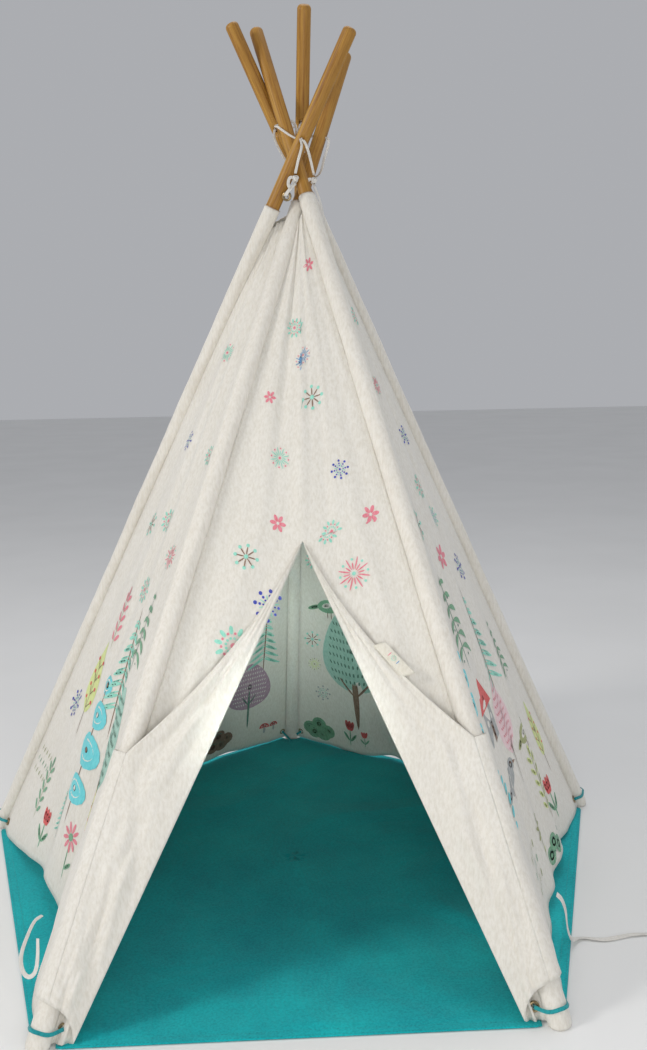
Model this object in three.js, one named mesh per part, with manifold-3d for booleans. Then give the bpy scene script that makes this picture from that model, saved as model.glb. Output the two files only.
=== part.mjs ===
// A children's teepee tent: five wooden poles that cross near the top, a canvas cover of five panels
// and five pole sleeves, a door with two tied-back flaps, and a pentagonal floor mat.
// Millimetres, +Z up, the floor at z = 0. The door faces -Y.
import * as THREE from 'three';
import { mergeVertices } from 'three/addons/utils/BufferGeometryUtils.js';
import Module from 'manifold-3d';

const wasm = await Module();
wasm.setup();

// ---- driving dimensions ----
const FOOT_RADIUS = 689; // circumradius of the pentagon that the pole feet stand on
const CROSS_Z = 1406; // height at which the poles cross
const POLE_R = 12.5;
const POLE_LENGTH = 1792;
const POLE_START = 8; // from the floor point to the pole's lower end, along the pole
const POLE_END_ROUND = 6;
const POLE_CHAMFER = 2; // at the lower end
const HOLE_R = 4.2;
const SLEEVE_R_FOOT = 18.5;
const SLEEVE_R_TOP = 14.3;
const SLEEVE_BORE_R = 12.85;
const CLOTH = 2; // thickness of every canvas solid
const SEAM_GAP = 0.6; // between a panel's edge and the sleeve
const MAT_THICKNESS = 2.4;
const MAT_RADIUS = 697;
const NOTCH_R = 30; // corner notch of the mat round each foot
const APEX_Z = 725; // top of the door opening
const FOLD_FOOT = 52; // distance from pole axis to the lower end of the door's folded edge
const SLIT_AT = 458; // where the flap's free edge crosses the sleeve, measured along the pole
const FLAP_LIFT = CLOTH + 3; // flap's middle surface, in front of the panel's
const FLAP_WRAP_GAP = 5; // between the sleeve and the flap's middle surface
const EYELET_SIDE = 32; // eyelet centre, from the pole axis along the panel
const EYELET_UP = 34; // eyelet centre, along the pole from the floor
const CORD_R = 2;
const TAPE_R = 1.5;
const TAPE_END_R = 1.7;
const CORNER_TIE_R = 1.6;
const ROUND_SIDES = 8; // of every cord's section
const HEM_AT = 12; // a panel's hem beside a sleeve, along the pole

// Each pole: the compass angle of its foot, where its axis passes the crossing height, where its
// sleeve ends, how far along it the cord hole is, and the compass angle that the hole points to.
const POLES = {
  back: { angle: 90, cross: [46.4, 67.1], sleeveTop: 1458, holeAt: 1602, hole: -100 },
  left: { angle: 162, cross: [42.3, -70], sleeveTop: 1473, holeAt: 1600, hole: -88 },
  front_left: { angle: 234, cross: [71.2, 6.7], sleeveTop: 1475, holeAt: 1616, hole: -10 },
  front_right: { angle: 306, cross: [26.5, -24.6], sleeveTop: 1452, holeAt: 1600, hole: 0 },
  right: { angle: 18, cross: [23, 48.2], sleeveTop: 1471, holeAt: 1600, hole: 60 },
};

// Each panel runs from one pole to the next; arch is how far its hem rises in the middle,
// and sag is how far the cloth there hangs inward.
const PANELS = {
  back_left: { from: 'left', to: 'back', top: 1440, arch: 8, sag: 14, colour: 0xc9c8bd },
  back_right: { from: 'back', to: 'right', top: 1430, arch: 8, sag: 14, colour: 0xc9c8bd },
  side_left: { from: 'front_left', to: 'left', top: 1412, arch: 60, sag: 48, colour: 0xece6da },
  side_right: { from: 'right', to: 'front_right', top: 1440, arch: 34, sag: 22, colour: 0xece6da },
  front: { from: 'front_right', to: 'front_left', top: 1420, arch: 0, sag: 0, colour: 0xf0ebe0 },
};

const UP = new THREE.Vector3(0, 0, 1);
const point = (x, y, z) => new THREE.Vector3(x, y, z);
const along = (base, direction, distance) => base.clone().addScaledVector(direction, distance);

// ---- materials ----
function finish(color, roughness, metalness = 0) {
  return new THREE.MeshStandardMaterial({ color, roughness, metalness });
}
const wood = finish(0xb5793f, 0.55);
const canvas = finish(0xefe9dc, 0.92);
const tape = finish(0xf2eee6, 0.9);
const teal = finish(0x2fa6a8, 0.88);
const brass = finish(0x8a7650, 0.38, 1);
const tagCloth = finish(0xf3efe6, 0.8);

// ---- solids ----
function solidOf(geometry) {
  const bare = geometry.clone();
  bare.deleteAttribute('normal');
  bare.deleteAttribute('uv');
  const merged = mergeVertices(bare, 1e-4);
  const mesh = new wasm.Mesh({
    numProp: 3,
    vertProperties: new Float32Array(merged.attributes.position.array),
    triVerts: new Uint32Array(merged.index.array),
  });
  return new wasm.Manifold(mesh);
}

function geometryOf(solid) {
  const mesh = solid.getMesh();
  const geometry = new THREE.BufferGeometry();
  geometry.setAttribute('position', new THREE.BufferAttribute(new Float32Array(mesh.vertProperties), 3));
  geometry.setIndex(new THREE.BufferAttribute(new Uint32Array(mesh.triVerts), 1));
  geometry.computeVertexNormals();
  return geometry;
}

// A closed mesh from vertices and triangles, turned so that its faces point out.
function closedGeometry(vertices, triangles) {
  let volume = 0;
  for (const [a, b, c] of triangles) {
    volume += vertices[a].dot(vertices[b].clone().cross(vertices[c]));
  }
  const index = triangles.flatMap(([a, b, c]) => (volume > 0 ? [a, b, c] : [a, c, b]));
  const geometry = new THREE.BufferGeometry();
  const flat = vertices.flatMap((v) => [v.x, v.y, v.z]);
  geometry.setAttribute('position', new THREE.Float32BufferAttribute(flat, 3));
  geometry.setIndex(index);
  geometry.computeVertexNormals();
  return geometry;
}

// A sheet of even thickness round a grid of points: grid[row][column].
function slab(grid, thickness) {
  const rows = grid.length;
  const columns = grid[0].length;
  const normalAt = (r, c) => {
    const across = grid[r][Math.min(c + 1, columns - 1)].clone().sub(grid[r][Math.max(c - 1, 0)]);
    const upward = grid[Math.min(r + 1, rows - 1)][c].clone().sub(grid[Math.max(r - 1, 0)][c]);
    return across.cross(upward).normalize();
  };
  const vertices = [];
  for (const side of [0.5, -0.5]) {
    for (let r = 0; r < rows; r += 1) {
      for (let c = 0; c < columns; c += 1) {
        vertices.push(along(grid[r][c], normalAt(r, c), side * thickness));
      }
    }
  }
  const id = (r, c, layer) => layer * rows * columns + r * columns + c;
  const triangles = [];
  const quad = (a, b, c, d) => triangles.push([a, b, c], [a, c, d]);
  for (let r = 0; r + 1 < rows; r += 1) {
    for (let c = 0; c + 1 < columns; c += 1) {
      quad(id(r, c, 0), id(r, c + 1, 0), id(r + 1, c + 1, 0), id(r + 1, c, 0));
      quad(id(r + 1, c, 1), id(r + 1, c + 1, 1), id(r, c + 1, 1), id(r, c, 1));
    }
  }
  for (let r = 0; r + 1 < rows; r += 1) {
    quad(id(r, 0, 0), id(r + 1, 0, 0), id(r + 1, 0, 1), id(r, 0, 1));
    quad(id(r + 1, columns - 1, 0), id(r, columns - 1, 0), id(r, columns - 1, 1), id(r + 1, columns - 1, 1));
  }
  for (let c = 0; c + 1 < columns; c += 1) {
    quad(id(0, c + 1, 0), id(0, c, 0), id(0, c, 1), id(0, c + 1, 1));
    quad(id(rows - 1, c, 0), id(rows - 1, c + 1, 0), id(rows - 1, c + 1, 1), id(rows - 1, c, 1));
  }
  return closedGeometry(vertices, triangles);
}

// A solid through a stack of rings with equal numbers of points, closed at both ends.
function loft(rings) {
  const count = rings[0].length;
  const vertices = rings.flat();
  const triangles = [];
  for (let r = 0; r + 1 < rings.length; r += 1) {
    for (let k = 0; k < count; k += 1) {
      const a = r * count + k;
      const b = r * count + ((k + 1) % count);
      triangles.push([a, b, b + count], [a, b + count, a + count]);
    }
  }
  const last = (rings.length - 1) * count;
  for (let k = 1; k + 1 < count; k += 1) {
    triangles.push([0, k + 1, k], [last, last + k, last + k + 1]);
  }
  return closedGeometry(vertices, triangles);
}

// A round tape or cord along a smooth path.
function cordGeometry(points, radius, steps) {
  const section = new THREE.Shape();
  for (let k = 0; k < ROUND_SIDES; k += 1) {
    const turn = (2 * Math.PI * k) / ROUND_SIDES;
    const place = [radius * Math.cos(turn), radius * Math.sin(turn)];
    if (k === 0) {
      section.moveTo(...place);
    } else {
      section.lineTo(...place);
    }
  }
  section.closePath();
  const path = new THREE.CatmullRomCurve3(points.map((p) => point(...p)), false, 'centripetal');
  return new THREE.ExtrudeGeometry(section, { steps, extrudePath: path, curveSegments: 1 });
}

// ---- pole frames ----
const radians = THREE.MathUtils.degToRad;

function poleFrame(name) {
  const { angle, cross } = POLES[name];
  const foot = point(FOOT_RADIUS * Math.cos(radians(angle)), FOOT_RADIUS * Math.sin(radians(angle)), 0);
  const crossing = point(cross[0], cross[1], CROSS_Z);
  const axis = crossing.clone().sub(foot).normalize();
  return { foot, axis, crossing };
}
const frames = Object.fromEntries(Object.keys(POLES).map((name) => [name, poleFrame(name)]));
const axisPoint = (name, s) => along(frames[name].foot, frames[name].axis, s);

function sleeveRadius(name, s) {
  const share = THREE.MathUtils.clamp(s / POLES[name].sleeveTop, 0, 1);
  return THREE.MathUtils.lerp(SLEEVE_R_FOOT, SLEEVE_R_TOP, share);
}

// The direction from one pole towards another at a distance s up both, square to the first pole.
function towards(name, other, s) {
  const { axis } = frames[name];
  const across = axisPoint(other, s).sub(axisPoint(name, s));
  return across.addScaledVector(axis, -across.dot(axis)).normalize();
}

const group = new THREE.Group();
function add(name, geometry, material) {
  const mesh = new THREE.Mesh(geometry, material);
  mesh.name = name;
  group.add(mesh);
  return mesh;
}

// ---- poles: round, with rounded ends and a cord hole near the crossing ----
function poleProfile() {
  const profile = [
    new THREE.Vector2(0, 0),
    new THREE.Vector2(POLE_R - POLE_CHAMFER, 0),
    new THREE.Vector2(POLE_R, POLE_CHAMFER),
  ];
  for (const turn of [0, 30, 60, 80]) {
    const rounded = POLE_R - POLE_END_ROUND + POLE_END_ROUND * Math.cos(radians(turn));
    const height = POLE_LENGTH - POLE_END_ROUND + POLE_END_ROUND * Math.sin(radians(turn));
    profile.push(new THREE.Vector2(rounded, height));
  }
  profile.push(new THREE.Vector2(0, POLE_LENGTH));
  return profile;
}

function makePole(name) {
  const { foot, axis } = frames[name];
  const turn = new THREE.Quaternion().setFromUnitVectors(point(0, 1, 0), axis);
  const holeAngle = radians(POLES[name].hole);
  const local = point(Math.cos(holeAngle), Math.sin(holeAngle), 0).applyQuaternion(turn.clone().invert());
  local.y = 0;
  const drill = new THREE.CylinderGeometry(HOLE_R, HOLE_R, 4 * POLE_R, 10);
  drill.applyQuaternion(new THREE.Quaternion().setFromUnitVectors(point(0, 1, 0), local.normalize()));
  drill.translate(0, POLES[name].holeAt - POLE_START, 0);
  const body = solidOf(new THREE.LatheGeometry(poleProfile(), 20)).subtract(solidOf(drill));
  const mesh = add(`pole_${name}`, geometryOf(body), wood);
  mesh.quaternion.copy(turn);
  mesh.position.copy(along(foot, axis, POLE_START));
}

// ---- sleeves: cloth tubes with a closed, rounded foot pocket and an open top ----
function ring(name, s, radius, sides) {
  const { axis } = frames[name];
  const side = UP.clone().cross(axis).normalize();
  const front = axis.clone().cross(side);
  const places = [];
  for (let k = 0; k < sides; k += 1) {
    const turn = (2 * Math.PI * k) / sides;
    const out = side.clone().multiplyScalar(Math.cos(turn)).addScaledVector(front, Math.sin(turn));
    places.push(along(axisPoint(name, s), out, radius));
  }
  return places;
}

// The pocket's rounded lower end: distance along the pole and radius.
const POCKET = [[-9, 10], [-4, 15.5], [3, 18], [12, SLEEVE_R_FOOT]];
const SLEEVE_SIDES = 16;
const BORE_SIDES = 20;
const POCKET_GAP = 0.8; // between the pole's lower end and the pocket's bottom
const PAST_TOP = 30; // how far the bore's cutter runs past the sleeve's open end
const FLOOR_BLOCK = 200; // side of the block that cuts the pocket flat at the floor

function makeSleeve(name) {
  const top = POLES[name].sleeveTop;
  const rings = POCKET.map(([s, radius]) => ring(name, s, radius, SLEEVE_SIDES));
  rings.push(ring(name, top, SLEEVE_R_TOP, SLEEVE_SIDES));
  const outside = solidOf(loft(rings));
  const boreEnds = [POLE_START - POCKET_GAP, top + PAST_TOP];
  const bore = solidOf(loft(boreEnds.map((s) => ring(name, s, SLEEVE_BORE_R, BORE_SIDES))));
  const block = new THREE.BoxGeometry(FLOOR_BLOCK, FLOOR_BLOCK, FLOOR_BLOCK);
  block.translate(...frames[name].foot.toArray());
  const below = solidOf(block.translate(0, 0, -FLOOR_BLOCK / 2));
  add(`sleeve_${name}`, geometryOf(outside.subtract(bore).subtract(below)), canvas);
}

// ---- panels: ruled sheets between two sleeves ----
// Steps across and up a panel, closer together beside the sleeves and where the sleeves draw together.
const PANEL_ACROSS = [0, 0.06, 0.2, 0.4, 0.6, 0.8, 0.94, 1];
const PANEL_UP = [0, 0.06, 0.16, 0.32, 0.5, 0.66, 0.78, 0.86, 0.93, 1];
const FLAT_MARGIN = 0.06; // share of the width beside each sleeve that stays flat

// Square to the panel's hem and its first pole, pointing into the tent.
function panelInward({ from, to }) {
  const across = frames[to].foot.clone().sub(frames[from].foot);
  return across.cross(frames[from].axis).normalize();
}

// A point of a panel: u runs from its first sleeve to its second, and v from its hem to its top.
function panelPoint(panel, u, v) {
  const { from, to, top, arch, sag } = panel;
  const inner = THREE.MathUtils.clamp((u - FLAT_MARGIN) / (1 - 2 * FLAT_MARGIN), 0, 1);
  const bow = (4 * inner * (1 - inner)) ** 1.5;
  const s = THREE.MathUtils.lerp(HEM_AT + arch * bow, top, v);
  const start = along(axisPoint(from, s), towards(from, to, s), sleeveRadius(from, s) + SEAM_GAP);
  const end = along(axisPoint(to, s), towards(to, from, s), sleeveRadius(to, s) + SEAM_GAP);
  const inward = panelInward(panel);
  return start.lerp(end, u).addScaledVector(inward, sag * bow * (1 - v) ** 3);
}

function panelGrid(panel) {
  return PANEL_UP.map((v) => PANEL_ACROSS.map((u) => panelPoint(panel, u, v)));
}

// ---- the door: its apex on the front panel's middle line, and its folded edges ----
const frontMiddle = {
  low: frames.front_left.foot.clone().lerp(frames.front_right.foot, 0.5),
  high: frames.front_left.crossing.clone().lerp(frames.front_right.crossing, 0.5),
};
const apex = frontMiddle.low.clone().lerp(frontMiddle.high, APEX_Z / CROSS_Z);

const FOLD_START = 24; // lower end of the folded edge, along the pole

// One side of the door: its pole, the poles next to it, and its folded edge from corner to apex.
function doorSide(pole, across, beside) {
  const corner = along(axisPoint(pole, FOLD_START), towards(pole, across, FOLD_START), FOLD_FOOT);
  const apexS = apex.clone().sub(frames[pole].foot).dot(frames[pole].axis);
  return { pole, across, beside, corner, apexS };
}
const doorSides = {
  left: doorSide('front_left', 'front_right', 'left'),
  right: doorSide('front_right', 'front_left', 'right'),
};

// The point of the folded edge that is level with a distance s along the pole.
function foldPoint(door, s) {
  return door.corner.clone().lerp(apex, (s - FOLD_START) / (door.apexS - FOLD_START));
}

const WEDGE_BELOW = -80; // where the door's cutter starts, along the pole
const WEDGE_DEPTH = 900;
const WEDGE_BACK = 100; // the cutter's inner face

function doorWedge() {
  const left = foldPoint(doorSides.left, WEDGE_BELOW);
  const right = foldPoint(doorSides.right, WEDGE_BELOW);
  const outline = new THREE.Shape();
  outline.moveTo(left.x, left.z);
  outline.lineTo(right.x, right.z);
  outline.lineTo(apex.x, apex.z);
  outline.closePath();
  const wedge = new THREE.ExtrudeGeometry(outline, { depth: WEDGE_DEPTH, bevelEnabled: false });
  wedge.rotateX(Math.PI / 2);
  return solidOf(wedge.translate(0, WEDGE_BACK, 0));
}

// ---- eyelets: a turned brass ring with a lip on each face of the cloth ----
const EYELET = { hole: 4.3, tube: 5.4, lip: 8.5, lipGap: 0.6, lipThick: 0.9, clothGap: 0.5 };

function eyeletProfile() {
  const { hole, tube, lip, lipGap, lipThick } = EYELET;
  const inner = CLOTH / 2 + lipGap;
  const outer = inner + lipThick;
  const corners = [[hole, -outer], [lip, -outer], [lip, -inner], [tube, -inner]];
  const mirrored = corners.map(([r, z]) => [r, -z]).reverse();
  return [...corners, ...mirrored, corners[0]].map(([r, z]) => new THREE.Vector2(r, z));
}

function placeEyelet(name, centre, normal) {
  const geometry = new THREE.LatheGeometry(eyeletProfile(), 10);
  const mesh = add(name, geometryOf(solidOf(geometry)), brass);
  mesh.quaternion.setFromUnitVectors(point(0, 1, 0), normal);
  mesh.position.copy(centre);
}

function eyeletHole(centre, normal) {
  const radius = EYELET.tube + EYELET.clothGap;
  const drill = new THREE.CylinderGeometry(radius, radius, 6 * CLOTH, 12);
  drill.applyQuaternion(new THREE.Quaternion().setFromUnitVectors(point(0, 1, 0), normal));
  return solidOf(drill.translate(...centre.toArray()));
}

// The eyelet beside one of a panel's sleeves, and the panel's normal there.
function cornerEyelet(panel, pole) {
  const u = pole === panel.from ? 0 : 1;
  const inset = EYELET_SIDE - sleeveRadius(pole, EYELET_UP) - SEAM_GAP;
  const width = panelPoint(panel, 0, 0).distanceTo(panelPoint(panel, 1, 0));
  const share = inset / width;
  const place = (du, s) => {
    const v = (s - HEM_AT) / (panel.top - HEM_AT);
    return panelPoint(panel, Math.abs(u - share - du), v);
  };
  const centre = place(0, EYELET_UP);
  const upward = place(0, EYELET_UP + EYELET.lip).sub(place(0, EYELET_UP - EYELET.lip));
  const across = place(0.01, EYELET_UP).sub(place(-0.01, EYELET_UP));
  const normal = upward.cross(across).normalize();
  if (normal.dot(point(centre.x, centre.y, 0)) < 0) {
    normal.negate();
  }
  return { centre, normal };
}

// The eyelet at the top of the right side panel lies in the panel itself.
function rightTopEyelet() {
  const panel = PANELS.side_right;
  const [u, v] = [0.5, 0.974];
  const centre = panelPoint(panel, u, v);
  const upward = panelPoint(panel, u, v + 0.01).sub(panelPoint(panel, u, v - 0.01));
  const across = panelPoint(panel, u + 0.1, v).sub(panelPoint(panel, u - 0.1, v));
  return { centre, normal: upward.cross(across).normalize() };
}

// The left one is in a tongue of the panel that is pulled up in front of the sleeves.
const TONGUE = [[-15, -47.5, 1232], [-4, -57, 1265], [9, -67, 1299], [15, -69.5, 1315], [18, -71, 1325]];
const TONGUE_ACROSS = point(0.95, -0.3, 0).normalize();
const TONGUE_HALF = 9;

function leftTongue() {
  const sides = [-TONGUE_HALF, TONGUE_HALF];
  const grid = TONGUE.map((place) => sides.map((side) => along(point(...place), TONGUE_ACROSS, side)));
  return solidOf(slab(grid, CLOTH));
}

function leftTopEyelet() {
  const [below, centre, above] = TONGUE.slice(2).map((place) => point(...place));
  const normal = above.sub(below).cross(TONGUE_ACROSS).normalize();
  return { centre, normal };
}
const TOP_EYELETS = { side_left: leftTopEyelet(), side_right: rightTopEyelet() };

const eyeletsByPole = Object.fromEntries(Object.keys(POLES).map((name) => [name, []]));

for (const [name, panel] of Object.entries(PANELS)) {
  let body = solidOf(slab(panelGrid(panel), CLOTH));
  if (name === 'front') {
    body = body.subtract(doorWedge());
  }
  if (name === 'side_left') {
    body = body.add(leftTongue());
  }
  for (const pole of [panel.from, panel.to]) {
    const eyelet = cornerEyelet(panel, pole);
    body = body.subtract(eyeletHole(eyelet.centre, eyelet.normal));
    placeEyelet(`eyelet_${pole}_on_${name}`, eyelet.centre, eyelet.normal);
    eyeletsByPole[pole].push(eyelet);
  }
  if (TOP_EYELETS[name]) {
    const eyelet = TOP_EYELETS[name];
    body = body.subtract(eyeletHole(eyelet.centre, eyelet.normal));
    placeEyelet(`eyelet_top_${name}`, eyelet.centre, eyelet.normal);
  }
  const cloth = canvas.clone();
  cloth.color.set(panel.colour);
  add(`panel_${name}`, geometryOf(body), cloth);
}

for (const name of Object.keys(POLES)) {
  makePole(name);
  makeSleeve(name);
}

// ---- door flaps: folded outward along the door's edges and wrapped round the front sleeves ----
const FLAP_ROWS = 9;
const WRAP_COLUMNS = 8;
const HEM_RISE = 50; // how far the tied-back hem climbs on its way to the sleeve
const HEM_RISE_LENGTH = 20;

// The directions square to a front pole at s: in the front panel, out in front of it, and in the side panel.
function doorDirections(door, s) {
  const inFront = towards(door.pole, door.across, s);
  const inSide = towards(door.pole, door.beside, s);
  const outward = inFront.clone().add(inSide).negate();
  const front = outward.addScaledVector(inFront, -outward.dot(inFront)).normalize();
  return { inFront, inSide, front };
}

const WRAP_ARC = { from: 20, to: 230, step: 7 }; // degrees round the sleeve, from the front panel

// A path square to the pole: from the folded edge over the sleeve and back along the side panel.
function wrapPath(door, s) {
  const { inFront, inSide, front } = doorDirections(door, s);
  const base = axisPoint(door.pole, s);
  const fold = foldPoint(door, s).sub(base);
  const sideAngle = Math.atan2(inSide.dot(front), inSide.dot(inFront));
  const radius = sleeveRadius(door.pole, s) + FLAP_WRAP_GAP;
  const reach = wrapReach(s);
  const sideNormal = sideAngle + 1.5 * Math.PI;
  const flat = [[fold.dot(inFront), fold.dot(front) + FLAP_LIFT]];
  for (let degrees = WRAP_ARC.from; degrees <= WRAP_ARC.to; degrees += WRAP_ARC.step) {
    flat.push([radius * Math.cos(radians(degrees)), radius * Math.sin(radians(degrees))]);
  }
  flat.push([
    reach * Math.cos(sideAngle) + FLAP_LIFT * Math.cos(sideNormal),
    reach * Math.sin(sideAngle) + FLAP_LIFT * Math.sin(sideNormal),
  ]);
  const hull = [];
  for (const next of flat) {
    while (hull.length > 1) {
      const [a, b] = hull.slice(-2);
      const turn = (b[0] - a[0]) * (next[1] - b[1]) - (b[1] - a[1]) * (next[0] - b[0]);
      if (turn > 0) {
        break;
      }
      hull.pop();
    }
    hull.push(next);
  }
  return { hull, base, inFront, front, axis: frames[door.pole].axis };
}

// How far the flap reaches along the side panel, past the pole's axis: least at both ends.
const REACH = { start: 20, least: 30, more: 66, skew: 0.7 };

function wrapReach(s) {
  const share = THREE.MathUtils.clamp((s - REACH.start) / (SLIT_AT - REACH.start), 0, 1);
  return REACH.least + REACH.more * Math.sin(Math.PI * share ** REACH.skew);
}

// Points at even steps along a flat path, between two shares of it, lifted back into space.
function spread(path, from, to, count, rise) {
  const { hull, base, inFront, front, axis } = path;
  const lengths = [0];
  for (let k = 1; k < hull.length; k += 1) {
    lengths.push(lengths[k - 1] + Math.hypot(hull[k][0] - hull[k - 1][0], hull[k][1] - hull[k - 1][1]));
  }
  const places = [];
  for (let c = 0; c <= count; c += 1) {
    const distance = THREE.MathUtils.lerp(from, to, c / count);
    let k = 1;
    while (k < hull.length - 1 && lengths[k] < distance) {
      k += 1;
    }
    const share = (distance - lengths[k - 1]) / (lengths[k] - lengths[k - 1]);
    const x = THREE.MathUtils.lerp(hull[k - 1][0], hull[k][0], share);
    const y = THREE.MathUtils.lerp(hull[k - 1][1], hull[k][1], share);
    const place = along(base, inFront, x).addScaledVector(front, y);
    places.push(place.addScaledVector(axis, rise * (1 - Math.exp(-distance / HEM_RISE_LENGTH))));
  }
  return places;
}

// The distance along a flat path to its ridge, the point furthest in front of the panel.
function ridgeDistance(hull) {
  let distance = 0;
  for (let k = 1; k < hull.length; k += 1) {
    if (hull[k][1] < hull[k - 1][1]) {
      break;
    }
    distance += Math.hypot(hull[k][0] - hull[k - 1][0], hull[k][1] - hull[k - 1][1]);
  }
  return distance;
}

function pathLength(hull) {
  let length = 0;
  for (let k = 1; k < hull.length; k += 1) {
    length += Math.hypot(hull[k][0] - hull[k - 1][0], hull[k][1] - hull[k - 1][1]);
  }
  return length;
}

const SLIT_SAG = 25; // how far the flap's free edge hangs below a straight line
const LIFT_FADE = 1.6; // how soon above the sleeve the free edge comes down to the panel
const UPPER_ROWS = [0.15, 0.4, 0.65, 0.9]; // shares of the height from the sleeve crossing to the apex

// Above the sleeve crossing the flap's inner part is a narrowing triangle up to the apex.
function upperRow(door, s, count) {
  const { inFront, front } = doorDirections(door, s);
  const base = axisPoint(door.pole, s);
  const fold = foldPoint(door, s).sub(base);
  const apexP = apex.clone().sub(axisPoint(door.pole, door.apexS)).dot(inFront);
  const share = (s - SLIT_AT) / (door.apexS - SLIT_AT);
  const free = THREE.MathUtils.lerp(0, apexP, share) + SLIT_SAG * 4 * share * (1 - share);
  const ridge = sleeveRadius(door.pole, s) + FLAP_WRAP_GAP;
  const freeLift = THREE.MathUtils.lerp(ridge, FLAP_LIFT, Math.min(1, share * LIFT_FADE));
  const places = [];
  for (let c = 0; c <= count; c += 1) {
    const t = c / count;
    const lift = fold.dot(front) + THREE.MathUtils.lerp(FLAP_LIFT, freeLift, t);
    const place = along(base, inFront, THREE.MathUtils.lerp(fold.dot(inFront), free, t));
    places.push(place.addScaledVector(front, lift));
  }
  return places;
}

function flapInner(door) {
  const grid = [];
  for (let r = 0; r < FLAP_ROWS; r += 1) {
    const v = r / (FLAP_ROWS - 1);
    const s = THREE.MathUtils.lerp(FOLD_START, SLIT_AT, v);
    const path = wrapPath(door, s);
    grid.push(spread(path, 0, ridgeDistance(path.hull), WRAP_COLUMNS, HEM_RISE * (1 - v)));
  }
  for (const share of UPPER_ROWS) {
    grid.push(upperRow(door, THREE.MathUtils.lerp(SLIT_AT, door.apexS, share), WRAP_COLUMNS));
  }
  return slab(grid, CLOTH);
}

function flapOuter(door) {
  const grid = [];
  for (let r = 0; r < FLAP_ROWS; r += 1) {
    const v = r / (FLAP_ROWS - 1);
    const s = THREE.MathUtils.lerp(FOLD_START, SLIT_AT, v);
    const path = wrapPath(door, s);
    const start = ridgeDistance(path.hull) + SEAM_GAP;
    grid.push(spread(path, start, pathLength(path.hull), WRAP_COLUMNS, HEM_RISE * (1 - v)));
  }
  return slab(grid, CLOTH);
}

for (const [side, door] of Object.entries(doorSides)) {
  add(`door_flap_${side}`, flapInner(door), canvas);
  add(`door_flap_${side}_wrap`, flapOuter(door), canvas);
}

// ---- label tag on the right flap's free edge ----
const TAG = { low: 0.32, high: 0.48, width: 16, thick: 1, gap: 1.2, overlap: 4, rows: 4 };

function tagGeometry(door) {
  const grid = [];
  for (let r = 0; r <= TAG.rows; r += 1) {
    const share = THREE.MathUtils.lerp(TAG.low, TAG.high, r / TAG.rows);
    const row = upperRow(door, THREE.MathUtils.lerp(SLIT_AT, door.apexS, share), 1);
    const inward = row[0].clone().sub(row[1]).normalize();
    const { front } = doorDirections(door, SLIT_AT);
    const edge = along(row[1], front, CLOTH / 2 + TAG.thick / 2 + TAG.gap);
    grid.push([along(edge, inward, TAG.overlap), along(edge, inward, TAG.overlap - TAG.width)]);
  }
  return slab(grid, TAG.thick);
}
add('label_tag', tagGeometry(doorSides.right), tagCloth);

// ---- floor mat: a pentagon with a notch round each foot ----
function makeMat() {
  const outline = new THREE.Shape();
  Object.values(POLES).forEach(({ angle }, k) => {
    const corner = [MAT_RADIUS * Math.cos(radians(angle)), MAT_RADIUS * Math.sin(radians(angle))];
    if (k === 0) {
      outline.moveTo(...corner);
    } else {
      outline.lineTo(...corner);
    }
  });
  outline.closePath();
  let body = solidOf(new THREE.ExtrudeGeometry(outline, { depth: MAT_THICKNESS, bevelEnabled: false }));
  for (const { foot } of Object.values(frames)) {
    const notch = new THREE.CylinderGeometry(NOTCH_R, NOTCH_R, 20, 24).rotateX(Math.PI / 2);
    body = body.subtract(solidOf(notch.translate(...foot.toArray())));
  }
  add('floor_mat', geometryOf(body), teal);
}
makeMat();

// ---- corner ties: from the mat through both eyelets, round the outside of the sleeve ----
const TIE = { below: 6, over: 3, inside: 52, clear: 5.5, steps: 26 };

function makeCornerTie(name) {
  const { foot, axis } = frames[name];
  const outward = foot.clone().normalize();
  const [first, second] = eyeletsByPole[name];
  const middle = axisPoint(name, EYELET_UP - TIE.below);
  const inside = along(point(foot.x, foot.y, MAT_THICKNESS + TIE.over), outward, -TIE.inside);
  const out = outward.clone().addScaledVector(axis, -outward.dot(axis)).normalize();
  const round = (eyelet, share) => {
    const away = eyelet.centre.clone().sub(middle);
    away.addScaledVector(axis, -away.dot(axis)).normalize();
    const direction = away.lerp(out, share).normalize();
    return along(middle, direction, SLEEVE_R_FOOT + TIE.clear);
  };
  const route = [
    inside,
    along(first.centre, first.normal, -10).lerp(inside, 0.35),
    along(first.centre, first.normal, -5),
    first.centre,
    along(first.centre, first.normal, 6),
    round(first, 0.45),
    round(first, 0.8),
    along(middle, out, SLEEVE_R_FOOT + TIE.clear),
    round(second, 0.8),
    round(second, 0.45),
    along(second.centre, second.normal, 6),
    second.centre,
    along(second.centre, second.normal, -5),
    along(second.centre, second.normal, -13).lerp(along(inside, UP, 16), 0.3),
  ];
  const geometry = cordGeometry(route.map((p) => p.toArray()), CORNER_TIE_R, TIE.steps);
  add(`corner_tie_${name}`, geometry, teal);
}
Object.keys(POLES).forEach(makeCornerTie);

// ---- crossing tape: from the left eyelet through the five poles' holes to the right eyelet ----
const holeDirection = (name) => {
  const angle = radians(POLES[name].hole);
  const flat = point(Math.cos(angle), Math.sin(angle), 0);
  const { axis } = frames[name];
  return flat.addScaledVector(axis, -flat.dot(axis)).normalize();
};
const holeMiddle = (name) => axisPoint(name, POLES[name].holeAt);
const holePoint = (name, distance) => along(holeMiddle(name), holeDirection(name), distance);

const LEFT_KNOT = [31, -81, 1343];
const RIGHT_KNOT = [65, -50, 1344];
const KNOT_R = 6;
const KNOT_STRETCH = 1.3; // how much longer a knot is than it is wide

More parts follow.
